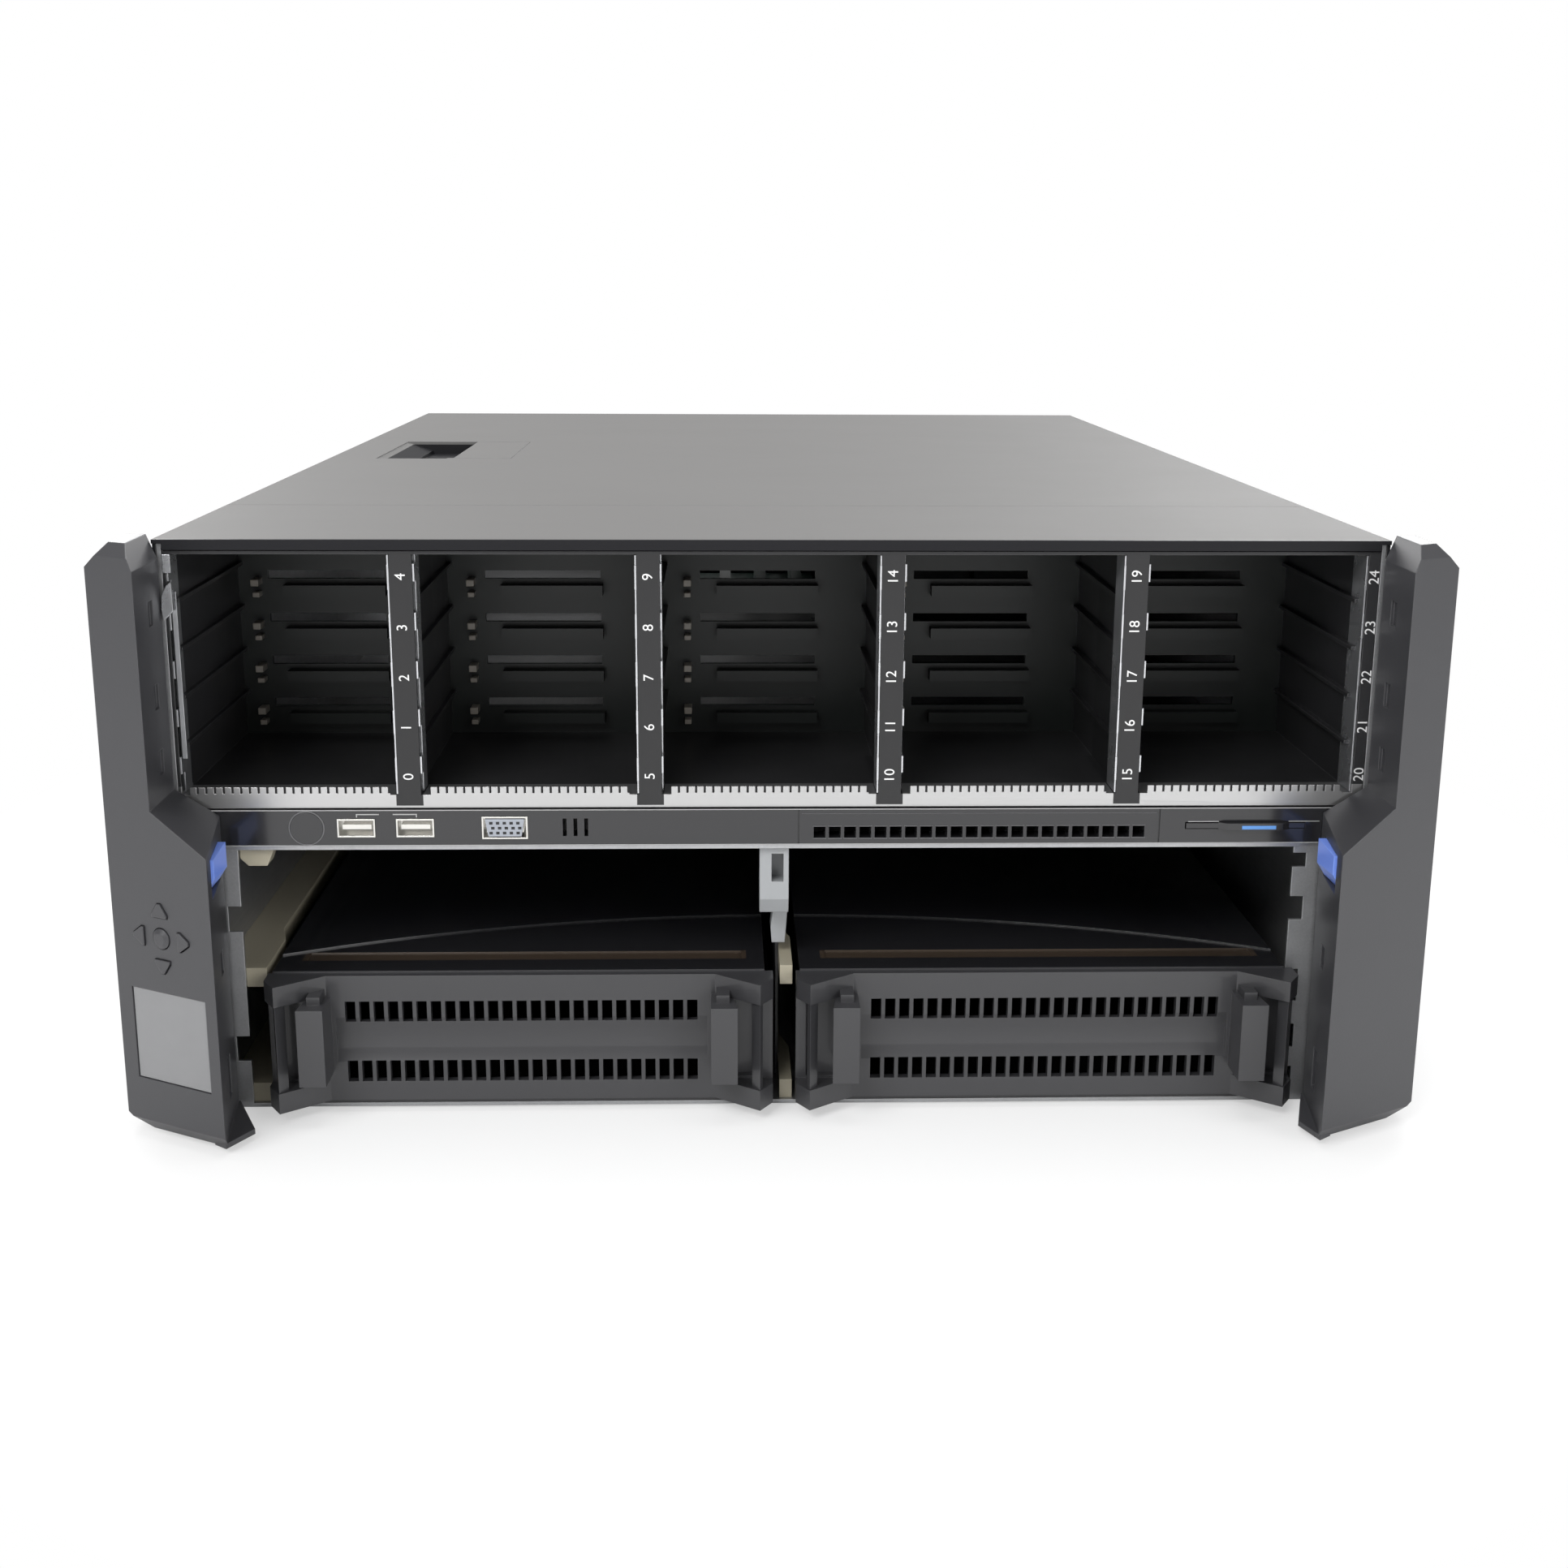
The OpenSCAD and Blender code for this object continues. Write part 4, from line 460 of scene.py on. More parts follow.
def piece(name, body, material, build, smooth=False):
    """Makes a mesh piece from build(bm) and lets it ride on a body."""
    bm = bmesh.new()
    build(bm)
    data = bpy.data.meshes.new(name)
    bm.to_mesh(data)
    bm.free()
    made = bpy.data.objects.new(name, data)
    bpy.context.scene.collection.objects.link(made)
    data.materials.append(material)
    for face in data.polygons:
        face.use_smooth = smooth
    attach(made, body)
    return made


# ---- finishes for the CAD nodes ----

zinc = galvanised().done()
plate = plated().done()
ear_plastic = charcoal().done()
black_gloss = gloss_black().done()
bright_metal = nickel().done()
white_mark = plastic("white_mark", (0.72, 0.72, 0.72), 0.5).done()
black_plastic = plastic("black_plastic", (0.012, 0.012, 0.013), 0.45).done()
fan_plastic = plastic("fan_plastic", (0.010, 0.010, 0.011), 0.4).done()

WIDE = 300

dress(zinc, "base_tray", "upper_shell")
dress(plate, "rear_panel", "card_slot_frames", "slot_fillers")
dress(bright_metal, "chassis_screws", "front_ports")
dress(ear_plastic, "left_ear", "right_ear", "nav_centre", "nav_up", "nav_down", "nav_left", "nav_right")
dress(black_gloss, "control_strip", "power_button", "info_tag")

paint = cover_paint().zone((-WIDE, REAR - FRONT + 0.3, 205), (WIDE, REAR - FRONT + 2, 219.2), BLACK, 0.4, 0.0)
# Painted shade: the paint is darkened inside the recess round the cover latch, below its top surface.
hand_low, hand_high = box_mm("cover_latch")
paint.zone((hand_low.x - 45, hand_low.y - 3, 195), (hand_high.x + 45, hand_high.y + 3, hand_high.z - 1.6), DARK, 0.5)
dress(paint.done(), "top_cover", "cover_latch")
strip_paint = cover_paint().zone((-WIDE, -3, 205), (WIDE, 0.02, 219.2), DARK, 0.3, 0.0)
dress(strip_paint.done(), "front_cover")

# Painted shade: the cage's near black base colour stands for the shade deep inside the bay; only the front band of its
# floor keeps the plated steel's light colour.
cage = Finish("cage_steel", (0.030, 0.030, 0.032), 0.35, 0.4).textured(
    "rolled", 0.01, 0.3, stretch=(60.0, 1.0, 60.0)).edge_wear_and_highlight(0.3, (0.2, 0.2, 0.2), 0.4).handled(0.15)
cage.zone((-WIDE, -1, 118), (WIDE, 1.6, 127.4), (0.5, 0.5, 0.5), 0.3, 0.9)
cage.zone((-WIDE, 1.6, 118), (WIDE, 16, 125.2), (0.45, 0.45, 0.46), 0.35, 0.9)
for x in (-136, -46.8, 42.4, 131.6):
    cage.zone((x - 5, -0.2, 120), (x + 5, 60, 214), (0.012, 0.012, 0.013), 0.35, 0.0)
dress(cage.done(), "drive_cage")

dress(Finish("slot_board", (0.006, 0.009, 0.008), 0.4).textured("speckle", 0.01, 0.3, size=0.003).done(),
      "drive_backplane")
dress(Finish("main_board", (0.008, 0.030, 0.022), 0.38).textured("speckle", 0.01, 0.3, size=0.003).done(),
      "system_boards")

guides = plastic("guide_plastic", (0.36, 0.33, 0.25), 0.4)
guides.zone((-20, 0, 60), (20, 40, 110), (0.30, 0.31, 0.32), 0.35)
dress(guides.done(), "bay_guides")
dress(plastic("divider_plate", (0.03, 0.03, 0.032), 0.4).done(), "bay_divider")
dress(plastic("blue_plastic", (0.19, 0.31, 0.88), 0.35).done(), "ear_release_left", "ear_release_right")
display = Finish("display", (0.18, 0.182, 0.187), 0.25, Coat_Weight=0.4).textured("speckle", 0.0, 0.15, size=0.01)
dress(display.done(), "lcd_window")

for name in ("blank_left", "blank_right"):
    low, high = box_mm(name)
    tray = gloss_black("tray_black")
    tray.zone((low.x + 10, 11.9, high.z - 1.6), (high.x - 10, 21.3, high.z + 1), (0.05, 0.036, 0.026), 0.25)
    tray.zone((-WIDE, -40, 0), (WIDE, -0.15, 60), (0.034, 0.034, 0.037), 0.42)
    dress(tray.done(), name)

orange = plastic("orange_plastic", (0.90, 0.15, 0.016), 0.34, (1.0, 0.32, 0.12))
dress(orange.done(), *(f"blower_{n}_latch" for n in range(1, 5)))
blower_black = charcoal("blower_plastic", (0.019, 0.019, 0.022), Specular_IOR_Level=0.25)
blower_black.zone((-WIDE, 660, 33), (WIDE, 663, 37), BRIGHT, 0.3, 1.0)
dress(blower_black.done(), *(f"blower_{n}_housing" for n in range(1, 5)))
dress(fan_plastic, *(f"blower_{n}_wheel" for n in range(1, 5)), *(f"psu_{n}_rotor" for n in range(1, 5)))

io = plated("io_plate")
io.zone((50, 600, 110), (211, 684.9, 123), (0.01, 0.01, 0.011), 0.5, 0.0)
dress(io.done(), "io_module")
manager = Finish("manager_face", (0.022, 0.022, 0.024), 0.45).textured("speckle", 0.01, 0.1, size=0.001).edge_wear_and_highlight(0.2)
manager.zone((-164, DEPTH - 1.5, 111), (-127.6, DEPTH + 0.4, 132), (0.010, 0.19, 0.24), 0.45)
manager.zone((-162, DEPTH + 0.5, 112), (-130, DEPTH + 8, 132), (0.6, 0.58, 0.54), 0.25, 1.0)
manager.zone((-200, DEPTH - 200, 100), (-80, DEPTH - 1.4, 140), STEEL, 0.4, 0.8)
dress(manager.done(), "management_module")

for n in range(1, 5):
    low, high = box_mm(f"psu_{n}_case")
    case = plated("psu_steel")
    case.zone((low.x + 44, 600, low.z + 1.1), (low.x + 83.5, DEPTH - 1.05, high.z - 1.1), (0.01, 0.01, 0.011), 0.4, 0.0)
    case.zone((low.x + 8.8, 600, low.z + 2.9), (low.x + 32.2, DEPTH + 2, high.z - 2.9), (0.016, 0.016, 0.017), 0.4, 0.0)
    dress(case.done(), f"psu_{n}_case")
    pad = plastic("release_pad", (0.90, 0.17, 0.02), 0.34, (1.0, 0.36, 0.14))
    pad.zone((low.x, 600, low.z), (low.x + 9, DEPTH + 6.62, high.z), STEEL, 0.35, 0.9)
    dress(pad.done(), f"psu_{n}_latch")
    frosted = plastic("frosted_plastic", (0.55, 0.56, 0.58), 0.35)
    frosted.zone((low.x + 30, DEPTH + 15, low.z + 9.6), (low.x + 55, DEPTH + 24, high.z - 9.6), (0.02, 0.02, 0.022), 0.9)
    dress(frosted.done(), f"psu_{n}_handle")


# ---- fine trim of the drive bay and the control strip ----

FLOOR = box_mm("drive_backplane")[0].z
ROOF = box_mm("drive_backplane")[1].z
ROWS = 5
ROW = (ROOF - FLOOR) / ROWS
COLUMN = 89.2
DIVIDERS = [-136.0 + i * COLUMN for i in range(4)]
BAY_RIGHT = box_mm("drive_backplane")[1].x
BAY_LEFT = box_mm("drive_backplane")[0].x
STRIP_LOW = box_mm("control_strip")[0].z
STRIP_HIGH = box_mm("control_strip")[1].z
STRIP_MID = (STRIP_LOW + STRIP_HIGH) / 2

bright_strip = Finish("bright_strip", (0.60, 0.61, 0.63), 0.28, 0.9).textured(
    "rolled", 0.01, 0.2, stretch=(60.0, 60.0, 1.0)).edge_wear_and_highlight(0.2).handled(0.12).done()


def figures(bm, text, size, place):
    """Plain figures on a front face, reading upwards."""
    curve = bpy.data.curves.new("figures", "FONT")
    curve.body, curve.size = text, size * MM
    curve.align_x = curve.align_y = "CENTER"
    made = bpy.data.objects.new("figures", curve)
    bpy.context.scene.collection.objects.link(made)
    mesh = bpy.data.meshes.new_from_object(made.evaluated_get(bpy.context.evaluated_depsgraph_get()))
    upright = Matrix(((0, -1, 0), (0, 0, -1), (1, 0, 0))).to_4x4()
    mesh.transform(Matrix.Translation(spot(*place)) @ upright)
    bm.from_mesh(mesh)
    bpy.data.objects.remove(made)
    bpy.data.meshes.remove(mesh)


def slot_numbers(bm):
    for column, x in enumerate(DIVIDERS + [BAY_RIGHT + 2.4]):
        for row in range(ROWS):
            figures(bm, str(column * ROWS + row), 5.4, (x, -0.1, FLOOR + 7 + row * (ROW + 0.7)))


piece("slot_numbers", "chassis", white_mark, slot_numbers)


def divider_plates(bm):
    """Spring plates on both sides of the dividers: plain on the left, notched on the right."""
    for x in DIVIDERS + [BAY_RIGHT + 4.0]:
        slab(bm, (x - 4.8, 0.3, FLOOR + 0.3), (x - 4.25, 15, ROOF - 0.3))
        for row in range(ROWS):
            slab(bm, (x - 4.9, 0.1, FLOOR + 5 + row * ROW), (x - 4.2, 1.6, FLOOR + 14 + row * ROW))
    for x in DIVIDERS + [BAY_LEFT - 4.4]:
        slab(bm, (x + 4.25, 5, FLOOR + 0.3), (x + 4.7, 14, ROOF - 0.3))
        for half in range(2 * ROWS - 1):
            low = FLOOR + 8 + half * ROW / 2
            if half % 2 == 0:
                slab(bm, (x + 4.25, 0.6, low), (x + 4.9, 7, low + 6.4))


piece("divider_plates", "chassis", bright_strip, divider_plates)


def light_pipes(bm):
    """Two small clear stubs beside each slot's connector."""
    for x in [BAY_LEFT] + [d + 4.2 for d in DIVIDERS]:
        for row in range(ROWS):
            base = FLOOR + row * ROW
            slab(bm, (x + 6.6, 97, base + 9.4), (x + 9.8, 105, base + 12.2), 0.3)
            slab(bm, (x + 6.8, 99, base + 4.6), (x + 9.6, 105, base + 6.6), 0.3)


piece("light_pipes", "chassis", plastic("clear_stub", (0.34, 0.31, 0.27), 0.3).done(), light_pipes)


def bay_left_lever(bm):
    """The rounded retaining lever at the top of the bay's left edge, on its stem."""
    lever = [(-217.4, 204), (-217.2, 193.6), (-220.8, 190), (-221.3, 194), (-220.9, 199), (-219.2, 202.6)]
    prism(bm, lever, "xz", -0.9, -3.4)
    prism(bm, [(-220.4, 207), (-220.4, 213.6), (-217.6, 213.6), (-217.6, 207)], "xz", -0.5, -1.6)
    prism(bm, [(-218.6, 200), (-216.9, 200), (-216.9, 138), (-218.6, 138)], "xz", 0.5, 2.0)


piece("bay_left_lever", "chassis", bright_strip, bay_left_lever)


def strip_lines(bm):
    """Bright lines along the strip's edges, the lower one a painted highlight and the upper one the cage's silver lip,
    and the bracket marks over the two sockets.
    """
    right = BAY_RIGHT + 3.5
    for z in (STRIP_LOW + 0.05, STRIP_HIGH - 0.35):
        slab(bm, (-218, -1.75, z), (right, -1.5, z + 0.3))
    for x0, x1 in ((-155.9, -147.4), (-142.3, -133.4)):
        slab(bm, (x0, -1.7, STRIP_MID + 5.0), (x1, -1.45, STRIP_MID + 5.4))
    for x in (-155.9, -133.8):
        slab(bm, (x, -1.7, STRIP_MID + 4.1), (x + 0.4, -1.45, STRIP_MID + 5.0))
    for x in (155, 193.2):
        slab(bm, (x, -1.8, STRIP_MID + 1.45), (x + 11.6, -1.5, STRIP_MID + 1.7))


piece("strip_lines", "chassis", plastic("faint_line", (0.36, 0.36, 0.36), 0.35).done(), strip_lines)


def strip_frames(bm):
    """Fine raised edges round the strip's vents and its middle section."""
    for i in range(22):
        x = 14.1 + i * 5.72
        low, high = STRIP_MID - 4.4, STRIP_MID
        slab(bm, (x - 0.3, -1.65, low - 0.35), (x + 4.7, -1.5, low))
        slab(bm, (x - 0.3, -1.65, high), (x + 4.7, -1.5, high + 0.3))
    slab(bm, (9.6, -1.65, STRIP_HIGH - 2.0), (143, -1.5, STRIP_HIGH - 1.8))


piece("strip_frames", "chassis", plastic("strip_edge", (0.10, 0.10, 0.105), 0.3).done(), strip_frames)


def button_ring(bm):
    lathe(bm, -174.3, STRIP_MID, [(6.6, -1.5), (6.6, -1.85), (6.15, -1.85), (6.15, -1.5)], 64)


piece("power_button_ring", "chassis", plastic("ring_edge", (0.12, 0.12, 0.125), 0.3).done(), button_ring)


def video_socket(bm):
    """The light block in the video socket; its fifteen pin holes in three rows are drawn by video_pins."""
    outline = [(-108.3, STRIP_MID + 3.3), (-93.7, STRIP_MID + 3.3), (-94.9, STRIP_MID - 3.3), (-107.1, STRIP_MID - 3.3)]
    prism(bm, outline, "xz", -2.1, 0.5)


piece("video_socket", "chassis", plastic("socket_block", (0.30, 0.32, 0.36), 0.4).done(), video_socket)


def video_pins(bm):
    for row in range(3):
        for i in range(5):
            x = -106.1 + i * 2.5 + (0.7 if row == 1 else 0)
            slab(bm, (x - 0.62, -2.16, STRIP_MID + 1.35 - row * 1.9), (x + 0.62, -2.1, STRIP_MID + 2.35 - row * 1.9))


piece("video_pins", "chassis", black_plastic, video_pins)


def tag_label(bm):
    prism(bm, [(174.9, 110.95), (174.9, 112.35), (187.8, 112.35), (187.8, 110.95)], "xz", -4.32, -4.2)


piece("info_tag_label", "info_tag", plastic("tag_blue", (0.10, 0.27, 0.62), 0.4).done(), tag_label)


# ---- power supply trim ----

def chaikin(points, cuts=3):
    """Rounds the corners of an open path and keeps its ends."""
    for _ in range(cuts):
        smooth = [points[0]]
        for one, two in zip(points, points[1:]):
            smooth += [one.lerp(two, 0.25), one.lerp(two, 0.75)]
        points = smooth + [points[-1]]
    return points


def pull_bar(bm, path, width, thickness):
    """A flat moulded bar along a path in millimetres, its edges rounded, as wide as width along X."""
    points = [Vector(p) for p in path]
    points = [points[0]] + chaikin(points[1:-1], 3) + [points[-1]]
    section = [(0.5 * width * math.copysign(abs(math.cos(a)) ** 0.35, math.cos(a)),
                0.5 * thickness * math.copysign(abs(math.sin(a)) ** 0.6, math.sin(a)))
               for a in (2 * math.pi * (i + 0.5) / 20 for i in range(20))]
    rings = []
    for i, point in enumerate(points):
        ahead = points[min(i + 1, len(points) - 1)] - points[max(i - 1, 0)]
        across = Vector((0, -ahead.z, ahead.y)).normalized()
        rings.append([bm.verts.new(spot(*(point + Vector((a, 0, 0)) + across * b))) for a, b in section])
    faces = [bm.faces.new(rings[0]), bm.faces.new(rings[-1][::-1])]
    for one, two in zip(rings, rings[1:]):
        for i in range(20):
            j = (i + 1) % 20
            faces.append(bm.faces.new((one[i], one[j], two[j], two[i])))
    bmesh.ops.recalc_face_normals(bm, faces=faces)


STRAP_TURNS = 1.9
STRAP_H = 18.0
STRAP_T = 1.3


def strap_point(t, v, out, cx, cy, cz, tilt, tail, seed):
    """A point of the wound strap: t runs along it, v from its lower to its upper edge."""
    angle = math.radians(-70) + 2 * math.pi * STRAP_TURNS * t
    bulge = 1 - 0.13 * (2 * v - 1) ** 2
    wave = 0.35 * math.sin(3 * angle + seed) + 0.2 * math.sin(7 * angle + 2.1 * seed + 4 * v)
    grow = 1.5 * t * STRAP_TURNS + (tail * ((t - 0.86) / 0.14) ** 2 if t > 0.86 else 0)
    rx = (7.2 + grow + wave * 0.5) * bulge + out
    ry = (6.4 + grow * 0.8 + wave * 0.4) * bulge + out
    x = cx + rx * math.cos(angle)
    y = cy + ry * math.sin(angle)
    z = cz + (v - 0.5) * STRAP_H + 1.6 * (1 - t * 1.7) + tilt * (x - cx) / 10 + 0.35 * wave
    return spot(x, y, z)


def wound_strap(bm, *shape):
    """The strap as a thin solid band wound round the pull bar."""
    along, high = 84, 9
    skins = []
    for out in (0.0, STRAP_T):
        skins.append([[bm.verts.new(strap_point(i / along, j / high, out, *shape))
                       for j in range(high + 1)] for i in range(along + 1)])
    inner, outer = skins
    faces = []
    for i in range(along):
        for j in range(high):
            for skin in skins:
                faces.append(bm.faces.new((skin[i][j], skin[i + 1][j], skin[i + 1][j + 1], skin[i][j + 1])))
        for j in (0, high):
            faces.append(bm.faces.new((inner[i][j], inner[i + 1][j], outer[i + 1][j], outer[i][j])))
    for i in (0, along):
        for j in range(high):
            faces.append(bm.faces.new((inner[i][j], inner[i][j + 1], outer[i][j + 1], outer[i][j])))
    bmesh.ops.recalc_face_normals(bm, faces=faces)


warm_nickel = Finish("warm_nickel", (0.62, 0.56, 0.46), 0.24, 1.0).textured(
    "speckle", 0.01, 0.2, size=0.0007).edge_wear_and_highlight(0.2).handled(0.1).done()
frosted = Finish("frosted_plastic", (0.56, 0.57, 0.59), 0.38, Transmission_Weight=0.35, IOR=1.45).textured(
    "speckle", 0.012, 0.10, size=0.0014).edge_wear_and_highlight(0.6, (0.78, 0.79, 0.80), 0.5).handled(0.1).done()
strap_cloth = Finish("strap_cloth", (0.011, 0.011, 0.012), 0.95, Sheen_Weight=0.08, Specular_IOR_Level=0.1).textured(
    "speckle", 0.5, 0.9, size=0.00045).textured("speckle", 0.25, 0.5, size=0.0016).done()

# how far each pull bar leans towards the fan, its droop, and its strap's tilt, tail and place
GRIPS = {1: (7.3, 3.4, 0.8, 0.0, -0.4), 2: (2.0, 3.2, 1.5, 0.0, 0.2),
         3: (7.0, 2.8, -0.6, 3.6, 1.4), 4: (1.6, 3.0, 0.0, 0.8, -2.2)}


def psu_grip(n):
    """The frosted pull and the strap wound round it."""
    lean, droop, tilt, tail, lift = GRIPS[n]
    low, high = box_mm(f"psu_{n}_case")
    root = low.x + 36.3
    top, foot = high.z - 2.6, low.z + 5.6
    face = DEPTH

    def at(y, z):
        return root + lean * min(1.0, y / 19), face + y, z

    def grip(bm):
        pull_bar(bm, [at(0.02, top), at(1.5, top), at(4.5, top - 0.2), at(19.2, top - droop - 0.4),
                      at(20.2, (top + foot) / 2 - droop), at(19.2, foot - droop + 0.4),
                      at(4.5, foot - 0.2), at(1.5, foot), at(0.02, foot)], 9.2, 2.7)

    made = piece(f"psu_{n}_pull", f"psu_{n}", frosted, grip, smooth=True)
    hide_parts(f"psu_{n}_handle")
    mid = (top + foot) / 2 - droop + lift

    def strap(bm):
        wound_strap(bm, root + lean - 0.4, face + 15.6, mid, tilt, tail, 1.7 * n)

    band = piece(f"psu_{n}_strap", f"psu_{n}", strap_cloth, strap, smooth=True)


def psu_trim(n):
    """Label, rim, screws and inlet trim of one power supply, and the lip of its release lever."""
    low, high = box_mm(f"psu_{n}_case")
    body = f"psu_{n}"
    face = DEPTH
    mid = (low.z + high.z) / 2
    fan_x = low.x + 64.1
    disc = plastic("fan_label", (0.30, 0.30, 0.31), 0.4)
    disc.zone((fan_x - 12, face - 1, mid - 12), (fan_x + 12, face + 0.9, mid - 3.0), (0.0, 0.15, 0.085), 0.4)

    def label(bm):
        lathe(bm, fan_x, mid, [(0, face + 0.5), (9.3, face + 0.5), (9.45, face + 0.4)], 64)

    piece(f"psu_{n}_fan_label", body, disc.done(), label)

    def disc_rim(bm):
        lathe(bm, fan_x, mid, [(9.4, face + 0.02), (9.4, face + 0.75), (9.75, face + 0.85),
                               (10.05, face + 0.6), (10.1, face + 0.02)], 64)
        lathe(bm, fan_x, mid + 6.4, [(0, face + 0.8), (0.45, face + 0.8), (0.6, face + 0.5)], 16)

    piece(f"psu_{n}_fan_rim", body, bright_strip, disc_rim, smooth=True)

    def screws(bm):
        for x in (-16, 16):
            for z in (-16, 16):
                dome = [(0, face + 2.0), (1.3, face + 1.95), (2.2, face + 1.6), (2.6, face + 1.1),
                        (2.65, face + 0.7), (3.15, face + 0.6), (3.2, face)]
                lathe(bm, fan_x + x, mid + z, dome, 28)

    piece(f"psu_{n}_fan_screws", body, warm_nickel, screws, smooth=True)

    def crosses(bm):
        for x in (-16, 16):
            for z in (-16, 16):
                cx, cz = fan_x + x, mid + z
                for k in range(2):
                    a = math.radians(20 + 31 * n + 90 * k + 5 * x)
                    u = Vector((math.cos(a), math.sin(a)))
                    w = Vector((-u.y, u.x)) * 0.3
                    ends = [u * 1.5 + w, u * -1.5 + w, u * -1.5 - w, u * 1.5 - w]
                    prism(bm, [(cx + e.x, cz + e.y) for e in ends], "xz", face + 1.3, face + 2.05)

    piece(f"psu_{n}_screw_slots", body, black_plastic, crosses)

    def frame(bm):
        # stepped steel round the inlet: upper ledge mitred into the side, and the lower ledge
        x0, x1 = low.x + 2.6, low.x + 33.4
        prism(bm, [(x0 + 0.5, high.z - 0.7), (x1 + 7, high.z - 0.7), (x1 + 7, high.z - 1.4),
                   (x0 + 1.2, high.z - 1.4)], "xz", face, face + 1.3)
        prism(bm, [(low.x + 8.6, high.z - 4.2), (low.x + 9.6, high.z - 3.1), (x1, high.z - 3.1),
                   (x1, high.z - 4.2)], "xz", face, face + 1.75)
        prism(bm, [(low.x + 12, low.z + 2.9), (low.x + 12, low.z + 3.9), (x1, low.z + 3.9),
                   (x1, low.z + 2.9)], "xz", face, face + 1.75)
        prism(bm, [(x0, low.z + 1.6), (x0, high.z - 2.2), (x0 + 0.7, high.z - 2.9), (x0 + 0.7, low.z + 1.6)],
              "xz", face, face + 1.1)
        prism(bm, [(low.x + 11, low.z + 1.1), (low.x + 11, low.z + 1.7), (low.x + 42, low.z + 1.7),
                   (low.x + 42, low.z + 1.1)], "xz", face, face + 0.9)

    piece(f"psu_{n}_inlet_frame", body, bright_strip, frame)

    def crease(bm):
        prism(bm, [(low.x + 3.6, high.z - 1.9), (low.x + 3.1, high.z - 2.4), (low.x + 8.2, high.z - 4.6),
                   (low.x + 8.6, high.z - 4.1)], "xz", face + 0.02, face + 0.2)
        for x, z in ((low.x + 1.6, low.z + 2.2), (low.x + 1.6, high.z - 2.0)):
            slab(bm, (x - 0.5, face, z - 0.4), (x + 0.5, face + 0.12, z + 0.4))
        outline = corners(low.x + 9.4, low.z + 4.4, low.x + 31.6, high.z - 4.6)
        frame_ring(bm, outline, corners(low.x + 9.8, low.z + 4.8, low.x + 31.2, high.z - 5.0),
                   face + 1.6, face + 1.75)

    piece(f"psu_{n}_creases", body, black_plastic, crease)

    def contacts(bm):
        # the blades of the inlet catch the light at their tips
        cx = low.x + 20.5
        for x, z in ((2.2, 0), (-2.2, 6.8), (-2.2, -6.8)):
            slab(bm, (cx + x - 2.05, face - 5.6, mid + z - 0.95), (cx + x + 2.05, face - 4.9, mid + z + 0.95), 0.3)

    piece(f"psu_{n}_contacts", body, bright_metal, contacts)

    def inlet_edges(bm):
        # lighter strips along the edges of the inlet's cut corners
        cx = low.x + 20.5
        for s in (-1, 1):
            prism(bm, [(cx + 4.3, mid + s * 12.1), (cx + 8.6, mid + s * 7.8), (cx + 8.9, mid + s * 7.9),
                       (cx + 4.4, mid + s * 12.4)], "xz", face + 1.6, face + 1.72)
            prism(bm, [(cx - 5, mid + s * 12.1), (cx + 4.3, mid + s * 12.1), (cx + 4.4, mid + s * 12.4),
                       (cx - 5, mid + s * 12.4)], "xz", face + 1.6, face + 1.72)

    piece(f"psu_{n}_inlet_edges", body, plastic("inlet_edge", (0.11, 0.11, 0.115), 0.3).done(),
          inlet_edges)

    def lever_lip(bm):
        # bright bent lip of the release lever over the pad
        x = low.x + 3.4
        prism(bm, [(x, mid + 6.2), (x + 6.6, mid + 6.2), (x + 6.6, mid + 6.9), (x + 1.4, mid + 6.9),
                   (x, mid + 5.4)], "xz", face + 4.2, face + 6.9)
        prism(bm, [(x - 0.2, mid - 6.0), (x + 0.5, mid - 6.0), (x + 0.5, mid + 5.8), (x - 0.2, mid + 5.4)],
              "xz", face + 3.4, face + 6.8)

    piece(f"psu_{n}_lever_lip", f"psu_{n}_latch", bright_strip, lever_lip)


for n in range(1, 5):
    psu_trim(n)
    psu_grip(n)


# ---- interconnect module under the power supplies ----

IO_LOW = box_mm("io_module")[0].z
gilt = plastic("gilt_shell", (0.46, 0.42, 0.34), 0.35).done()
lamp_dark = plastic("lamp_dark", (0.09, 0.09, 0.09), 0.3).done()
lamp_clear = plastic("lamp_clear", (0.62, 0.58, 0.54), 0.3).done()


def io_frames(bm):
    """Bright frame and partitions of the four transceiver cages, and the shell of the small socket."""
    z0, z1 = IO_LOW + 3.7, IO_LOW + 14.3
    rim(bm, (144.4, z0), (202.0, z1), 0.8, DEPTH, DEPTH + 0.9)
    for x in (188.0, 173.8, 159.6):
        slab(bm, (x - 0.7, DEPTH - 8, z0 + 0.8), (x - 0.1, DEPTH + 0.7, z1 - 0.8))
    slab(bm, (143.4, DEPTH, z1 + 0.1), (203.0, DEPTH + 1.5, z1 + 0.6), 0.15)
    rim(bm, (60.7, IO_LOW + 4.4), (74.7, IO_LOW + 12.2), 0.7, DEPTH, DEPTH + 1.2, 1.0)
    slab(bm, (62.6, DEPTH - 6, IO_LOW + 7.4), (72.8, DEPTH - 0.6, IO_LOW + 9.0), 0.2)


piece("io_cage_frames", "io_module", bright_strip, io_frames)


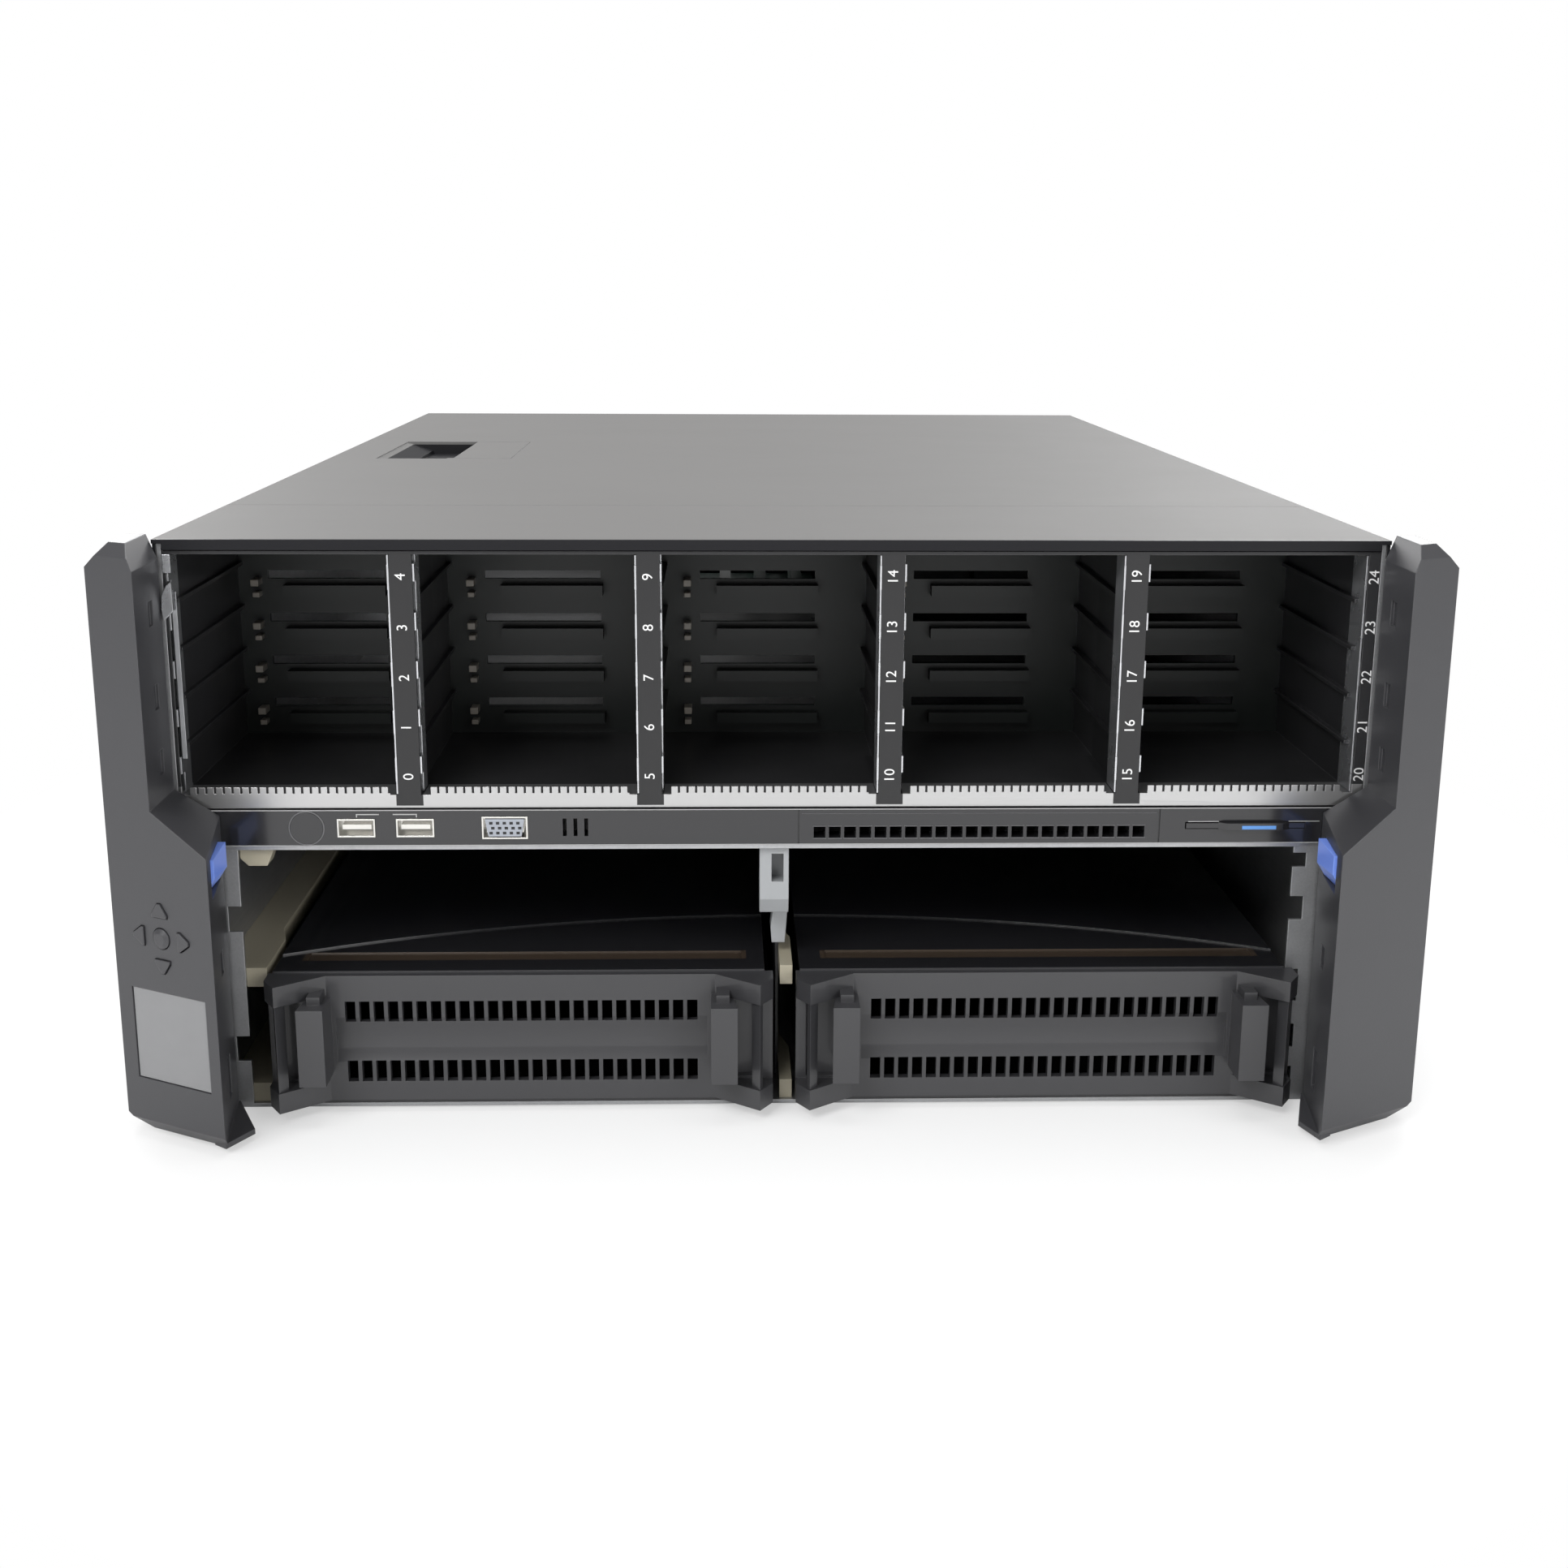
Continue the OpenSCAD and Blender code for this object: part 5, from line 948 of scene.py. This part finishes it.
def io_lips(bm):
    """Sprung lips at the foot of each transceiver cage, and the two bowed slots by the screw."""
    for x in (194.8, 180.3, 166.2, 151.8):
        outline = [(x - 3.2, IO_LOW + 3.9), (x - 2.9, IO_LOW + 5.1), (x + 2.9, IO_LOW + 5.1), (x + 3.2, IO_LOW + 3.9)]
        prism(bm, outline, "xz", DEPTH - 0.2, DEPTH + 1.3)
    for x in (99.7, 87.0):
        rim(bm, (x - 0.85, IO_LOW + 1.5), (x + 0.85, IO_LOW + 8.4), 0.35, DEPTH, DEPTH + 0.5, 0.8)


piece("io_lips", "io_module", bright_metal, io_lips)


def io_network_frame(bm):
    """The common shell round the two network sockets."""
    z0, z1 = IO_LOW + 3.2, IO_LOW + 15.0
    slab(bm, (103.2, DEPTH, z1 - 1.6), (135.8, DEPTH + 1.0, z1), 0.2)
    slab(bm, (103.2, DEPTH, z0), (105.4, DEPTH + 1.0, z1 - 1.6), 0.2)
    slab(bm, (133.6, DEPTH, z0), (135.8, DEPTH + 1.0, z1 - 1.6), 0.2)
    slab(bm, (118.5, DEPTH, z0 + 0.6), (120.5, DEPTH + 0.8, z1 - 1.6), 0.2)
    slab(bm, (105.4, DEPTH, z0), (133.6, DEPTH + 0.7, z0 + 0.7), 0.15)


piece("io_network_frame", "io_module", gilt, io_network_frame)


def io_contacts(bm):
    """Contact blocks low in the network sockets."""
    for x in (107.4, 115.6, 122.6, 130.8):
        slab(bm, (x - 1.3, DEPTH - 3, IO_LOW + 4.3), (x + 1.3, DEPTH - 0.2, IO_LOW + 5.6), 0.2)


piece("io_contacts", "io_module", bright_metal, io_contacts)


def io_screw(bm):
    """Slotted face of the captive screw, with a groove round it."""
    z = IO_LOW + 9.3
    lathe(bm, 93.4, z, [(0, DEPTH + 3.4), (2.9, DEPTH + 3.4), (3.1, DEPTH + 3.1), (3.6, DEPTH + 3.1),
                        (3.9, DEPTH + 3.3), (4.4, DEPTH + 3.1), (4.6, DEPTH + 2.6), (4.6, DEPTH)], 40)


piece("io_captive_screw", "io_module", warm_nickel, io_screw, smooth=True)


def io_marks(bm):
    """Dark parts: the screw's cross, two square holes, the groove and the seams of the cages."""
    z = IO_LOW + 9.3
    for a, b in ((2.0, 0.35), (0.35, 2.0)):
        slab(bm, (93.4 - a, DEPTH + 3.3, z - b), (93.4 + a, DEPTH + 3.5, z + b))
    for x in (99.5, 87.2):
        slab(bm, (x - 1.1, DEPTH, IO_LOW + 12.6), (x + 1.1, DEPTH + 0.15, IO_LOW + 14.4))
    for x in (99.7, 87.0):
        slab(bm, (x - 0.45, DEPTH, IO_LOW + 2.0), (x + 0.45, DEPTH + 0.15, IO_LOW + 7.9))
    rim(bm, (104.9, IO_LOW + 4.3), (134.1, IO_LOW + 13.2), 0.35, DEPTH + 1.0, DEPTH + 1.08)
    frame_ring(bm, ring(93.4, z, 5.3, 32), ring(93.4, z, 4.7, 32), DEPTH, DEPTH + 0.12)
    slab(bm, (52, DEPTH, IO_LOW + 1.0), (53.2, DEPTH + 0.1, IO_LOW + 2.2))


piece("io_marks", "io_module", black_plastic, io_marks)


def io_lamps(bm):
    for x, z in ((206.4, 13.0), (206.4, 7.6), (139.8, 12.6), (139.8, 7.2)):
        lathe(bm, x, IO_LOW + z, [(0, DEPTH + 0.9), (0.7, DEPTH + 0.75), (1.15, DEPTH + 0.35), (1.2, DEPTH)], 20)


piece("io_lamps", "io_module", lamp_dark, io_lamps, smooth=True)


def io_lamp_rings(bm):
    for x, z in ((206.4, 13.0), (206.4, 7.6), (139.8, 12.6), (139.8, 7.2)):
        frame_ring(bm, ring(x, IO_LOW + z, 1.75, 24), ring(x, IO_LOW + z, 1.3, 24), DEPTH, DEPTH + 0.15)


piece("io_lamp_rings", "io_module", black_plastic, io_lamp_rings)


# ---- management module ----

MM_LOW = box_mm("management_module")[0].z
MM_TOP = MM_LOW + 22.6
MM_LEFT, MM_RIGHT = box_mm("management_module")[0].x, box_mm("management_module")[1].x
SERIAL_X = -146.0
NET_SOCKETS = ((-125.4, 14.8), (-181.4, 14.8))


def manager_frame(bm):
    """Folded steel edge round the face, with four bright tabs on its upper edge."""
    slab(bm, (MM_LEFT, DEPTH, MM_TOP - 1.9), (MM_RIGHT, DEPTH + 1.2, MM_TOP), 0.3)
    slab(bm, (MM_LEFT, DEPTH, MM_LOW), (MM_RIGHT, DEPTH + 0.9, MM_LOW + 0.9), 0.2)
    for x in (MM_LEFT, MM_RIGHT - 1.0):
        slab(bm, (x, DEPTH, MM_LOW), (x + 1.0, DEPTH + 1.0, MM_TOP - 1.9), 0.2)
    for x in (-111.6, -119.9, -167.4, -175.3):
        prism(bm, [(x - 1.9, MM_TOP - 0.3), (x - 1.4, MM_TOP + 0.7), (x + 1.4, MM_TOP + 0.7), (x + 1.9, MM_TOP - 0.3)],
              "xz", DEPTH - 0.4, DEPTH + 1.5)


piece("manager_frame", "management_module", bright_strip, manager_frame)


def manager_sockets(bm):
    """Folded shells of the two network sockets and the rim of the serial socket."""
    for x, w in NET_SOCKETS:
        z = MM_LOW + 8
        rim(bm, (x - 1.8, z - 1.6), (x + w + 1.8, z + 11.9), 1.2, DEPTH, DEPTH + 0.9, 0.5)
        # the sprung tongues folded in at both upper corners
        for side, edge in ((1, x), (-1, x + w)):
            prism(bm, [(edge, z + 10.6), (edge + side * 3.8, z + 10.6), (edge + side * 3.4, z + 9.4),
                       (edge + side * 1.2, z + 8.4), (edge, z + 8.2)], "xz", DEPTH - 0.6, DEPTH + 0.6)
            slab(bm, (min(edge, edge + side * 1.1), DEPTH - 0.6, z + 1.5),
                 (max(edge, edge + side * 1.1), DEPTH + 0.5, z + 5.4), 0.15)
    face = DEPTH + 4.5
    z0, z1 = MM_LOW + 8, MM_LOW + 16.5
    outer = [(SERIAL_X - 9, z1), (SERIAL_X + 9, z1), (SERIAL_X + 7.4, z0), (SERIAL_X - 7.4, z0)]
    inner = [(SERIAL_X - 8.1, z1 - 0.8), (SERIAL_X + 8.1, z1 - 0.8), (SERIAL_X + 6.7, z0 + 0.8),
             (SERIAL_X - 6.7, z0 + 0.8)]
    frame_ring(bm, outer, inner, face - 0.4, face + 0.8)
    plate_low, plate_high = (SERIAL_X - 9.8, z0 - 1.0), (SERIAL_X + 9.8, z1 + 1.0)
    rim(bm, plate_low, plate_high, 1.2, DEPTH, DEPTH + 1.0, 2.2)
    for side in (-1, 1):
        x, z = SERIAL_X + side * 12.5, MM_LOW + 12.2
        lathe(bm, x, z, [(1.3, DEPTH + 5.3), (2.4, DEPTH + 5.3), (2.9, DEPTH + 4.8), (2.9, DEPTH)], 6)
        lathe(bm, x, z, [(3.5, DEPTH + 0.1), (3.5, DEPTH + 0.7), (2.6, DEPTH + 0.9)], 24)


piece("manager_sockets", "management_module", bright_metal, manager_sockets)


def serial_face(bm):
    z0, z1 = MM_LOW + 8.8, MM_LOW + 15.7
    outline = [(SERIAL_X - 8.1, z1), (SERIAL_X + 8.1, z1), (SERIAL_X + 6.7, z0), (SERIAL_X - 6.7, z0)]
    prism(bm, outline, "xz", DEPTH + 4.4, DEPTH + 4.65)
    for side in (-1, 1):
        lathe(bm, SERIAL_X + side * 12.5, MM_LOW + 12.2, [(0, DEPTH + 5.1), (1.35, DEPTH + 5.1), (1.35, DEPTH + 4.6)], 16)


piece("serial_face", "management_module", black_plastic, serial_face)


def serial_pins(bm):
    for row, count in ((0, 5), (1, 4)):
        for i in range(count):
            x = SERIAL_X + (i - (count - 1) / 2) * 2.75
            z = MM_LOW + 13.7 - row * 2.8
            lathe(bm, x, z, [(0, DEPTH + 5.4), (0.3, DEPTH + 5.3), (0.42, DEPTH + 5.0), (0.42, DEPTH + 4.6)], 12)


piece("serial_pins", "management_module", Finish("pin_gilt", (0.78, 0.52, 0.20), 0.25, 1.0).textured(
    "speckle", 0.005, 0.2, size=0.0005).edge_wear_and_highlight(0.1).done(), serial_pins, smooth=True)


def manager_lamps(bm):
    for x, z in ((-187.3, 17.2), (-187.4, 11.8)):
        lathe(bm, x, MM_LOW + z, [(0, DEPTH + 0.9), (0.8, DEPTH + 0.75), (1.3, DEPTH + 0.35), (1.4, DEPTH)], 20)


piece("manager_lamps", "management_module", lamp_clear, manager_lamps, smooth=True)


def manager_dark_lamps(bm):
    for x, z in ((-101.9, 16.2), (-101.9, 11.0)):
        lathe(bm, x, MM_LOW + z, [(0, DEPTH + 0.7), (0.8, DEPTH + 0.6), (1.3, DEPTH + 0.3), (1.4, DEPTH)], 20)


piece("manager_dark_lamps", "management_module", lamp_dark, manager_dark_lamps, smooth=True)


def manager_symbols(bm):
    """Plain triangles and rings beside the lamps."""
    for x, z0 in ((-97.7, 0.0), (-192.0, 0.8)):
        z = MM_LOW + 16.2 + z0
        frame_ring(bm, [(x - 1.3, z), (x + 1.2, z + 1.5), (x + 1.2, z - 1.5)],
                   [(x - 0.7, z), (x + 0.9, z + 0.95), (x + 0.9, z - 0.95)], DEPTH, DEPTH + 0.06)
        z = MM_LOW + 11.0 + z0
        frame_ring(bm, ring(x, z, 1.5, 24), ring(x, z, 1.2, 24), DEPTH, DEPTH + 0.06)
        slab(bm, (x - 0.45, DEPTH, z - 0.45), (x + 0.45, DEPTH + 0.06, z + 0.45))


piece("manager_symbols", "management_module", white_mark, manager_symbols)


# ---- card slots and the rear panel ----

LP_PITCH, LP_X, LP_BACK = 23.2, 28.2, DEPTH - 12
LP_LOW = box_mm("slot_fillers")[0].z + 0.6
LP_HIGH = box_mm("slot_fillers")[1].z - 0.2
LP_H = LP_HIGH - LP_LOW
FH_LEFT, FH_L = -195.6, 100.8


def slot_catches_and_edge_highlights(bm):
    """Sprung lips that hold the foot of each card, and bright strips along the edges of the recess as painted
    highlights.
    """
    for i in range(5):
        x = LP_X - i * LP_PITCH
        prism(bm, [(LP_BACK + 0.2, LP_LOW - 3.6), (LP_BACK + 5.2, LP_LOW - 3.2), (LP_BACK + 6.0, LP_LOW - 4.4),
                   (LP_BACK + 5.4, LP_LOW - 5.6), (LP_BACK + 4.8, LP_LOW - 4.6), (LP_BACK + 0.2, LP_LOW - 4.6)],
              "yz", x - 4.0, x + 4.0)
        slab(bm, (x - 4.0, LP_BACK, LP_LOW - 1.5), (x + 4.0, LP_BACK + 1.2, LP_LOW - 0.9), 0.2)
    slab(bm, (-88.4, DEPTH, LP_HIGH + 1.6), (45.2, DEPTH + 0.5, LP_HIGH + 2.2), 0.15)
    slab(bm, (-89.2, DEPTH, LP_LOW - 14.2), (45.8, DEPTH + 0.6, LP_LOW - 13.5), 0.15)
    slab(bm, (-89.6, DEPTH, LP_LOW - 14), (-88.3, DEPTH + 0.5, LP_HIGH + 2.0), 0.15)
    slab(bm, (44.5, DEPTH, LP_LOW - 14), (45.2, DEPTH + 0.4, LP_HIGH + 2.0), 0.15)


piece("slot_catches_and_edge_highlights", "chassis", bright_metal, slot_catches_and_edge_highlights)


def slot_pip_glints(bm):
    """Painted glints: bright caps on the pressings between the slots and on the perforated strip's bridges."""
    step = LP_H / 8
    for i in range(5):
        x = LP_X - (i + 0.5) * LP_PITCH
        for z in (LP_LOW + 6 * step + 2.0, LP_LOW + 6 * step + 6.4):
            lathe(bm, x, z, [(0, LP_BACK + 0.95), (1.3, LP_BACK + 0.85), (2.0, LP_BACK + 0.35), (2.1, LP_BACK + 0.1)], 20)
    for z in (177.3, 174.5, 171.7):
        slab(bm, (39.0, LP_BACK, z - 0.8), (40.8, LP_BACK + 0.5, z + 0.8), 0.35)


piece("slot_pip_glints", "chassis", bright_metal, slot_pip_glints, smooth=True)


def card_clip_glints(bm):
    """Painted glints: small bright caps on the clips beside the full height slots."""
    for z in (193.7, 169.9, 146.7):
        prism(bm, [(DEPTH - 1.2, z + 3.0), (DEPTH + 0.9, z + 2.2), (DEPTH + 1.3, z), (DEPTH + 0.9, z - 2.2),
                   (DEPTH - 1.2, z - 3.0)], "yz", -93.9, -91.9)


piece("card_clip_glints", "chassis", bright_metal, card_clip_glints)


def slot_shadows(bm):
    """Dark cut-outs at the foot of each slot, and the clips' pockets."""
    for i in range(5):
        x = LP_X - i * LP_PITCH
        for s in (-1, 1):
            prism(bm, [(x + s * 8.6, LP_LOW - 6.0), (x + s * 8.6, LP_LOW - 5.1), (x + s * 5.4, LP_LOW - 5.4),
                       (x + s * 4.4, LP_LOW - 6.9), (x + s * 5.4, LP_LOW - 8.6), (x + s * 8.8, LP_LOW - 8.8),
                       (x + s * 8.8, LP_LOW - 7.9), (x + s * 6.6, LP_LOW - 7.0)], "xz", LP_BACK + 5.1, LP_BACK + 5.3)
    for z in (193.7, 169.9, 146.7):
        slab(bm, (-95.0, DEPTH - 1.5, z - 4.6), (-90.9, DEPTH - 1.3, z + 4.6))


piece("slot_shadows", "chassis", black_plastic, slot_shadows)

TOP = box_mm("upper_shell")[1].z
DECK = TOP - 113
BUSHES = [(40.8, TOP - 10.5), (40.7, TOP - 20.5), (-82.4, TOP - 10.5), (-126.8, TOP - 10), (-167.3, TOP - 10),
          (-207.6, TOP - 10), (-219, TOP - 17.5), (-219, DECK + 54.5), (-219, DECK + 16.0), (217.5, DECK + 13)]


# Painted shade: black discs fill the bores of the bushes, where the panel behind would show, each with a dark ring
# round the bush.
def bush_bores(bm):
    for x, z in BUSHES:
        lathe(bm, x, z, [(0, DEPTH + 0.3), (1.34, DEPTH + 0.3), (1.34, DEPTH + 0.1)], 20)
        frame_ring(bm, ring(x, z, 3.15, 28), ring(x, z, 2.55, 28), DEPTH, DEPTH + 0.1)
    x, z = 39.4, LP_LOW + 0.34 * LP_H
    lathe(bm, x, z, [(0, LP_BACK + 0.3), (1.34, LP_BACK + 0.3), (1.34, LP_BACK + 0.1)], 20)
    frame_ring(bm, ring(x, z, 3.15, 28), ring(x, z, 2.55, 28), LP_BACK, LP_BACK + 0.1)


piece("bush_bores", "chassis", black_plastic, bush_bores)


def filler_frames(bm):
    """Rounded raised beads on the slot fillers."""
    for i in (0, 1, 4):
        x = LP_X - i * LP_PITCH
        shift = 0.0 if i != 1 else -2.0
        low, high = (x - 5.6, LP_LOW + 5.8 + shift), (x + 5.6, LP_HIGH - 10.4 + shift)
        rim(bm, low, high, 1.0, LP_BACK + 1.7, LP_BACK + 2.25, 2.6)
        rim(bm, (low[0] + 1.6, low[1] + 1.6), (high[0] - 1.6, high[1] - 1.6), 0.35, LP_BACK + 1.7, LP_BACK + 1.95, 1.6)


piece("filler_frames", "chassis", bright_strip, filler_frames)


def air_guide(bm):
    """The blue moulded air guide behind the upper vents."""
    prism(bm, [(677, 203.2), (679.5, 203.2), (679.5, 194), (682, 192.4), (680.5, 191.8), (677, 193.5)], "yz", -78, 24)
    for x in (-60, -36, -12, 12):
        slab(bm, (x - 0.5, 678, 193), (x + 0.5, 681.8, 203), 0.2)


piece("air_guide", "chassis", plastic("air_guide_blue", (0.020, 0.026, 0.13), 0.35).done(), air_guide)


def retainer_screw(bm):
    """Knurled thumbscrew of the card slot retainer."""
    x, z = 0.6, LP_LOW - 12.2
    lathe(bm, x, z, [(0, DEPTH + 4.4), (1.6, DEPTH + 4.4), (1.9, DEPTH + 5.3), (3.3, DEPTH + 5.3), (3.6, DEPTH + 4.8),
                     (3.6, DEPTH + 1.6), (4.6, DEPTH + 1.2), (4.8, DEPTH)], 36)
    for i in range(18):
        a = 2 * math.pi * i / 18
        cx, cz = x + 3.65 * math.cos(a), z + 3.65 * math.sin(a)
        lathe(bm, cx, cz, [(0, DEPTH + 4.7), (0.3, DEPTH + 4.6), (0.3, DEPTH + 1.8)], 6)


piece("retainer_screw", "chassis", bright_metal, retainer_screw, smooth=True)


# ---- blower trim ----

def blower_trim(n):
    """Lit frame round the release pad, foot marks and edge beads of one blower; the beads are painted highlights."""
    low, high = box_mm(f"blower_{n}_housing")
    cx = (low.x + high.x) / 2
    face = box_mm(f"blower_{n}_latch")[1].y - 0.8
    top = low.z + 99.2
    gx = cx - 6.5

    def pad_frame(bm):
        outer = [(gx - 14.3, top - 0.3), (gx + 14.3, top - 0.3), (gx + 8.3, top - 16.4), (gx - 8.3, top - 16.4)]
        inner = [(gx - 10.6, top - 2.4), (gx + 10.6, top - 2.4), (gx + 6.2, top - 14.5), (gx - 6.2, top - 14.5)]
        frame_ring(bm, outer, inner, face - 0.2, face + 0.25)

    grey = plastic("pad_frame_grey", (0.135, 0.135, 0.142), 0.35, (0.32, 0.32, 0.33)).done()
    piece(f"blower_{n}_pad_frame", f"blower_{n}", grey, pad_frame)

    def foot_marks(bm):
        for x in (-3.4, 3.4):
            rim(bm, (gx - 4 + x - 2.4, low.z + 2.1), (gx - 4 + x + 2.4, low.z + 4.3), 0.4,
                DEPTH - 4 + 1.2, DEPTH - 4 + 1.55, 0.8)

    piece(f"blower_{n}_foot_marks", f"blower_{n}", plastic("foot_mark", (0.20, 0.20, 0.21), 0.4).done(),
          foot_marks)

    def beads(bm):
        # painted highlights: lighter strips on the upper edges of the two windows and of the grip column
        front = DEPTH - 4 - 3
        for x0, x1 in ((cx - 46, cx - 17.5), (cx - 3, cx + 34)):
            slab(bm, (x0, front - 0.1, low.z + 63.9), (x1, front + 0.25, low.z + 64.5))
        for x0, x1 in ((cx - 46, cx - 17.5), (cx - 3, cx + 34)):
            for k in (1, 2):
                x = x0 + (x1 - x0) * k / 3
                slab(bm, (x - 0.55, front - 0.1, low.z + 7), (x + 0.55, front + 0.2, low.z + 64))
        inner = cx + 50.7 - 6.4
        slab(bm, (cx - 44.5, front + 0.1, low.z + 6.5), (inner, front + 0.45, low.z + 7.0))

    piece(f"blower_{n}_beads", f"blower_{n}", plastic("blower_edge_highlight", (0.085, 0.085, 0.09), 0.4).done(),
          beads)


for n in range(1, 5):
    blower_trim(n)


# ---- light and camera ----

def area_light(name, place, aim, size, power, shape="RECTANGLE"):
    lamp = bpy.data.lights.new(name, "AREA")
    lamp.shape = shape
    lamp.size, lamp.size_y = size
    lamp.energy = power
    made = bpy.data.objects.new(name, lamp)
    made.location = place
    made.rotation_euler = (Vector(aim) - Vector(place)).to_track_quat("-Z", "Y").to_euler()
    bpy.context.scene.collection.objects.link(made)


def white_world(ambient):
    """White to the eye, a plain grey for lighting and in reflections."""
    world = bpy.data.worlds.new("world")
    bpy.context.scene.world = world
    world.use_nodes = True
    tree = world.node_tree
    light = tree.nodes["Background"]
    light.inputs["Color"].default_value = (1, 1, 1, 1)
    light.inputs["Strength"].default_value = ambient
    seen = add(tree, "Background", Strength=1.0)
    seen.inputs["Color"].default_value = (1, 1, 1, 1)
    ray = add(tree, "LightPath")
    mix = add(tree, "MixShader")
    out = tree.nodes["World Output"]
    join(tree, (ray.outputs["Is Camera Ray"], mix.inputs[0]), (light.outputs[0], mix.inputs[1]),
         (seen.outputs[0], mix.inputs[2]), (mix.outputs[0], out.inputs["Surface"]))


white_world(0.35)
area_light("key", (-1.2, -2.2, 1.9), (0, -0.2, 0.1), (1.6, 1.2), 60)
area_light("fill", (1.6, -2.0, 0.9), (0, -0.2, 0.1), (1.2, 1.2), 25)
area_light("top", (0, 0.3, 2.2), (0, 0, 0), (2.0, 2.0), 40)
area_light("back_left", (1.3, 2.2, 1.4), (0, 0.3, 0.1), (1.4, 1.2), 45)
area_light("back_right", (-1.4, 2.0, 0.9), (0, 0.3, 0.1), (1.2, 1.2), 30)


def floor():
    """A white sheet that shows the chassis's shadow and fades into the white round it."""
    bm = bmesh.new()
    bmesh.ops.create_grid(bm, x_segments=1, y_segments=1, size=6)
    data = bpy.data.meshes.new("floor")
    bm.to_mesh(data)
    bm.free()
    made = bpy.data.objects.new("floor", data)
    made.location.z = -0.0006
    bpy.context.scene.collection.objects.link(made)
    paper = Finish("paper", (0.86, 0.86, 0.86), 0.9)
    data.materials.append(paper.done())
    tree = paper.tree
    output = tree.nodes["Material Output"]
    glow = add(tree, "Emission", Strength=1.0)
    glow.inputs["Color"].default_value = (1, 1, 1, 1)
    place = add(tree, "TexCoord")
    squeeze = add(tree, "VectorMath", "MULTIPLY", at_1=(1.45, 1.0, 0.0))
    reach = add(tree, "VectorMath", "LENGTH")
    fade = add(tree, "MapRange", **{"From Min": 0.44, "From Max": 0.66, "To Min": 0.45, "To Max": 1.0})
    ray = add(tree, "LightPath")
    part = add(tree, "Math", "MULTIPLY")
    mix = add(tree, "MixShader")
    join(tree, (place.outputs["Object"], squeeze.inputs[0]), (squeeze.outputs[0], reach.inputs[0]),
         (reach.outputs["Value"], fade.inputs["Value"]), (fade.outputs[0], part.inputs[0]),
         (ray.outputs["Is Camera Ray"], part.inputs[1]), (part.outputs[0], mix.inputs[0]),
         (paper.shader.outputs[0], mix.inputs[1]), (glow.outputs[0], mix.inputs[2]),
         (mix.outputs[0], output.inputs["Surface"]))


floor()

lens = bpy.data.cameras.new("camera")
lens.lens = 45.35
lens.sensor_width = 36
lens.clip_start = 0.05
camera = bpy.data.objects.new("camera", lens)
PITCH, TURN, ROLL = 0.2498, 0.0315, 0.0053
camera.location = (-0.01953, -1.04438, 0.30994)
camera.rotation_euler = (Euler((math.pi / 2 - PITCH, 0, -TURN)).to_matrix()
                         @ Matrix.Rotation(ROLL, 3, "Z")).to_euler()
bpy.context.scene.collection.objects.link(camera)
bpy.context.scene.camera = camera
bpy.context.scene.view_settings.view_transform = "Standard"
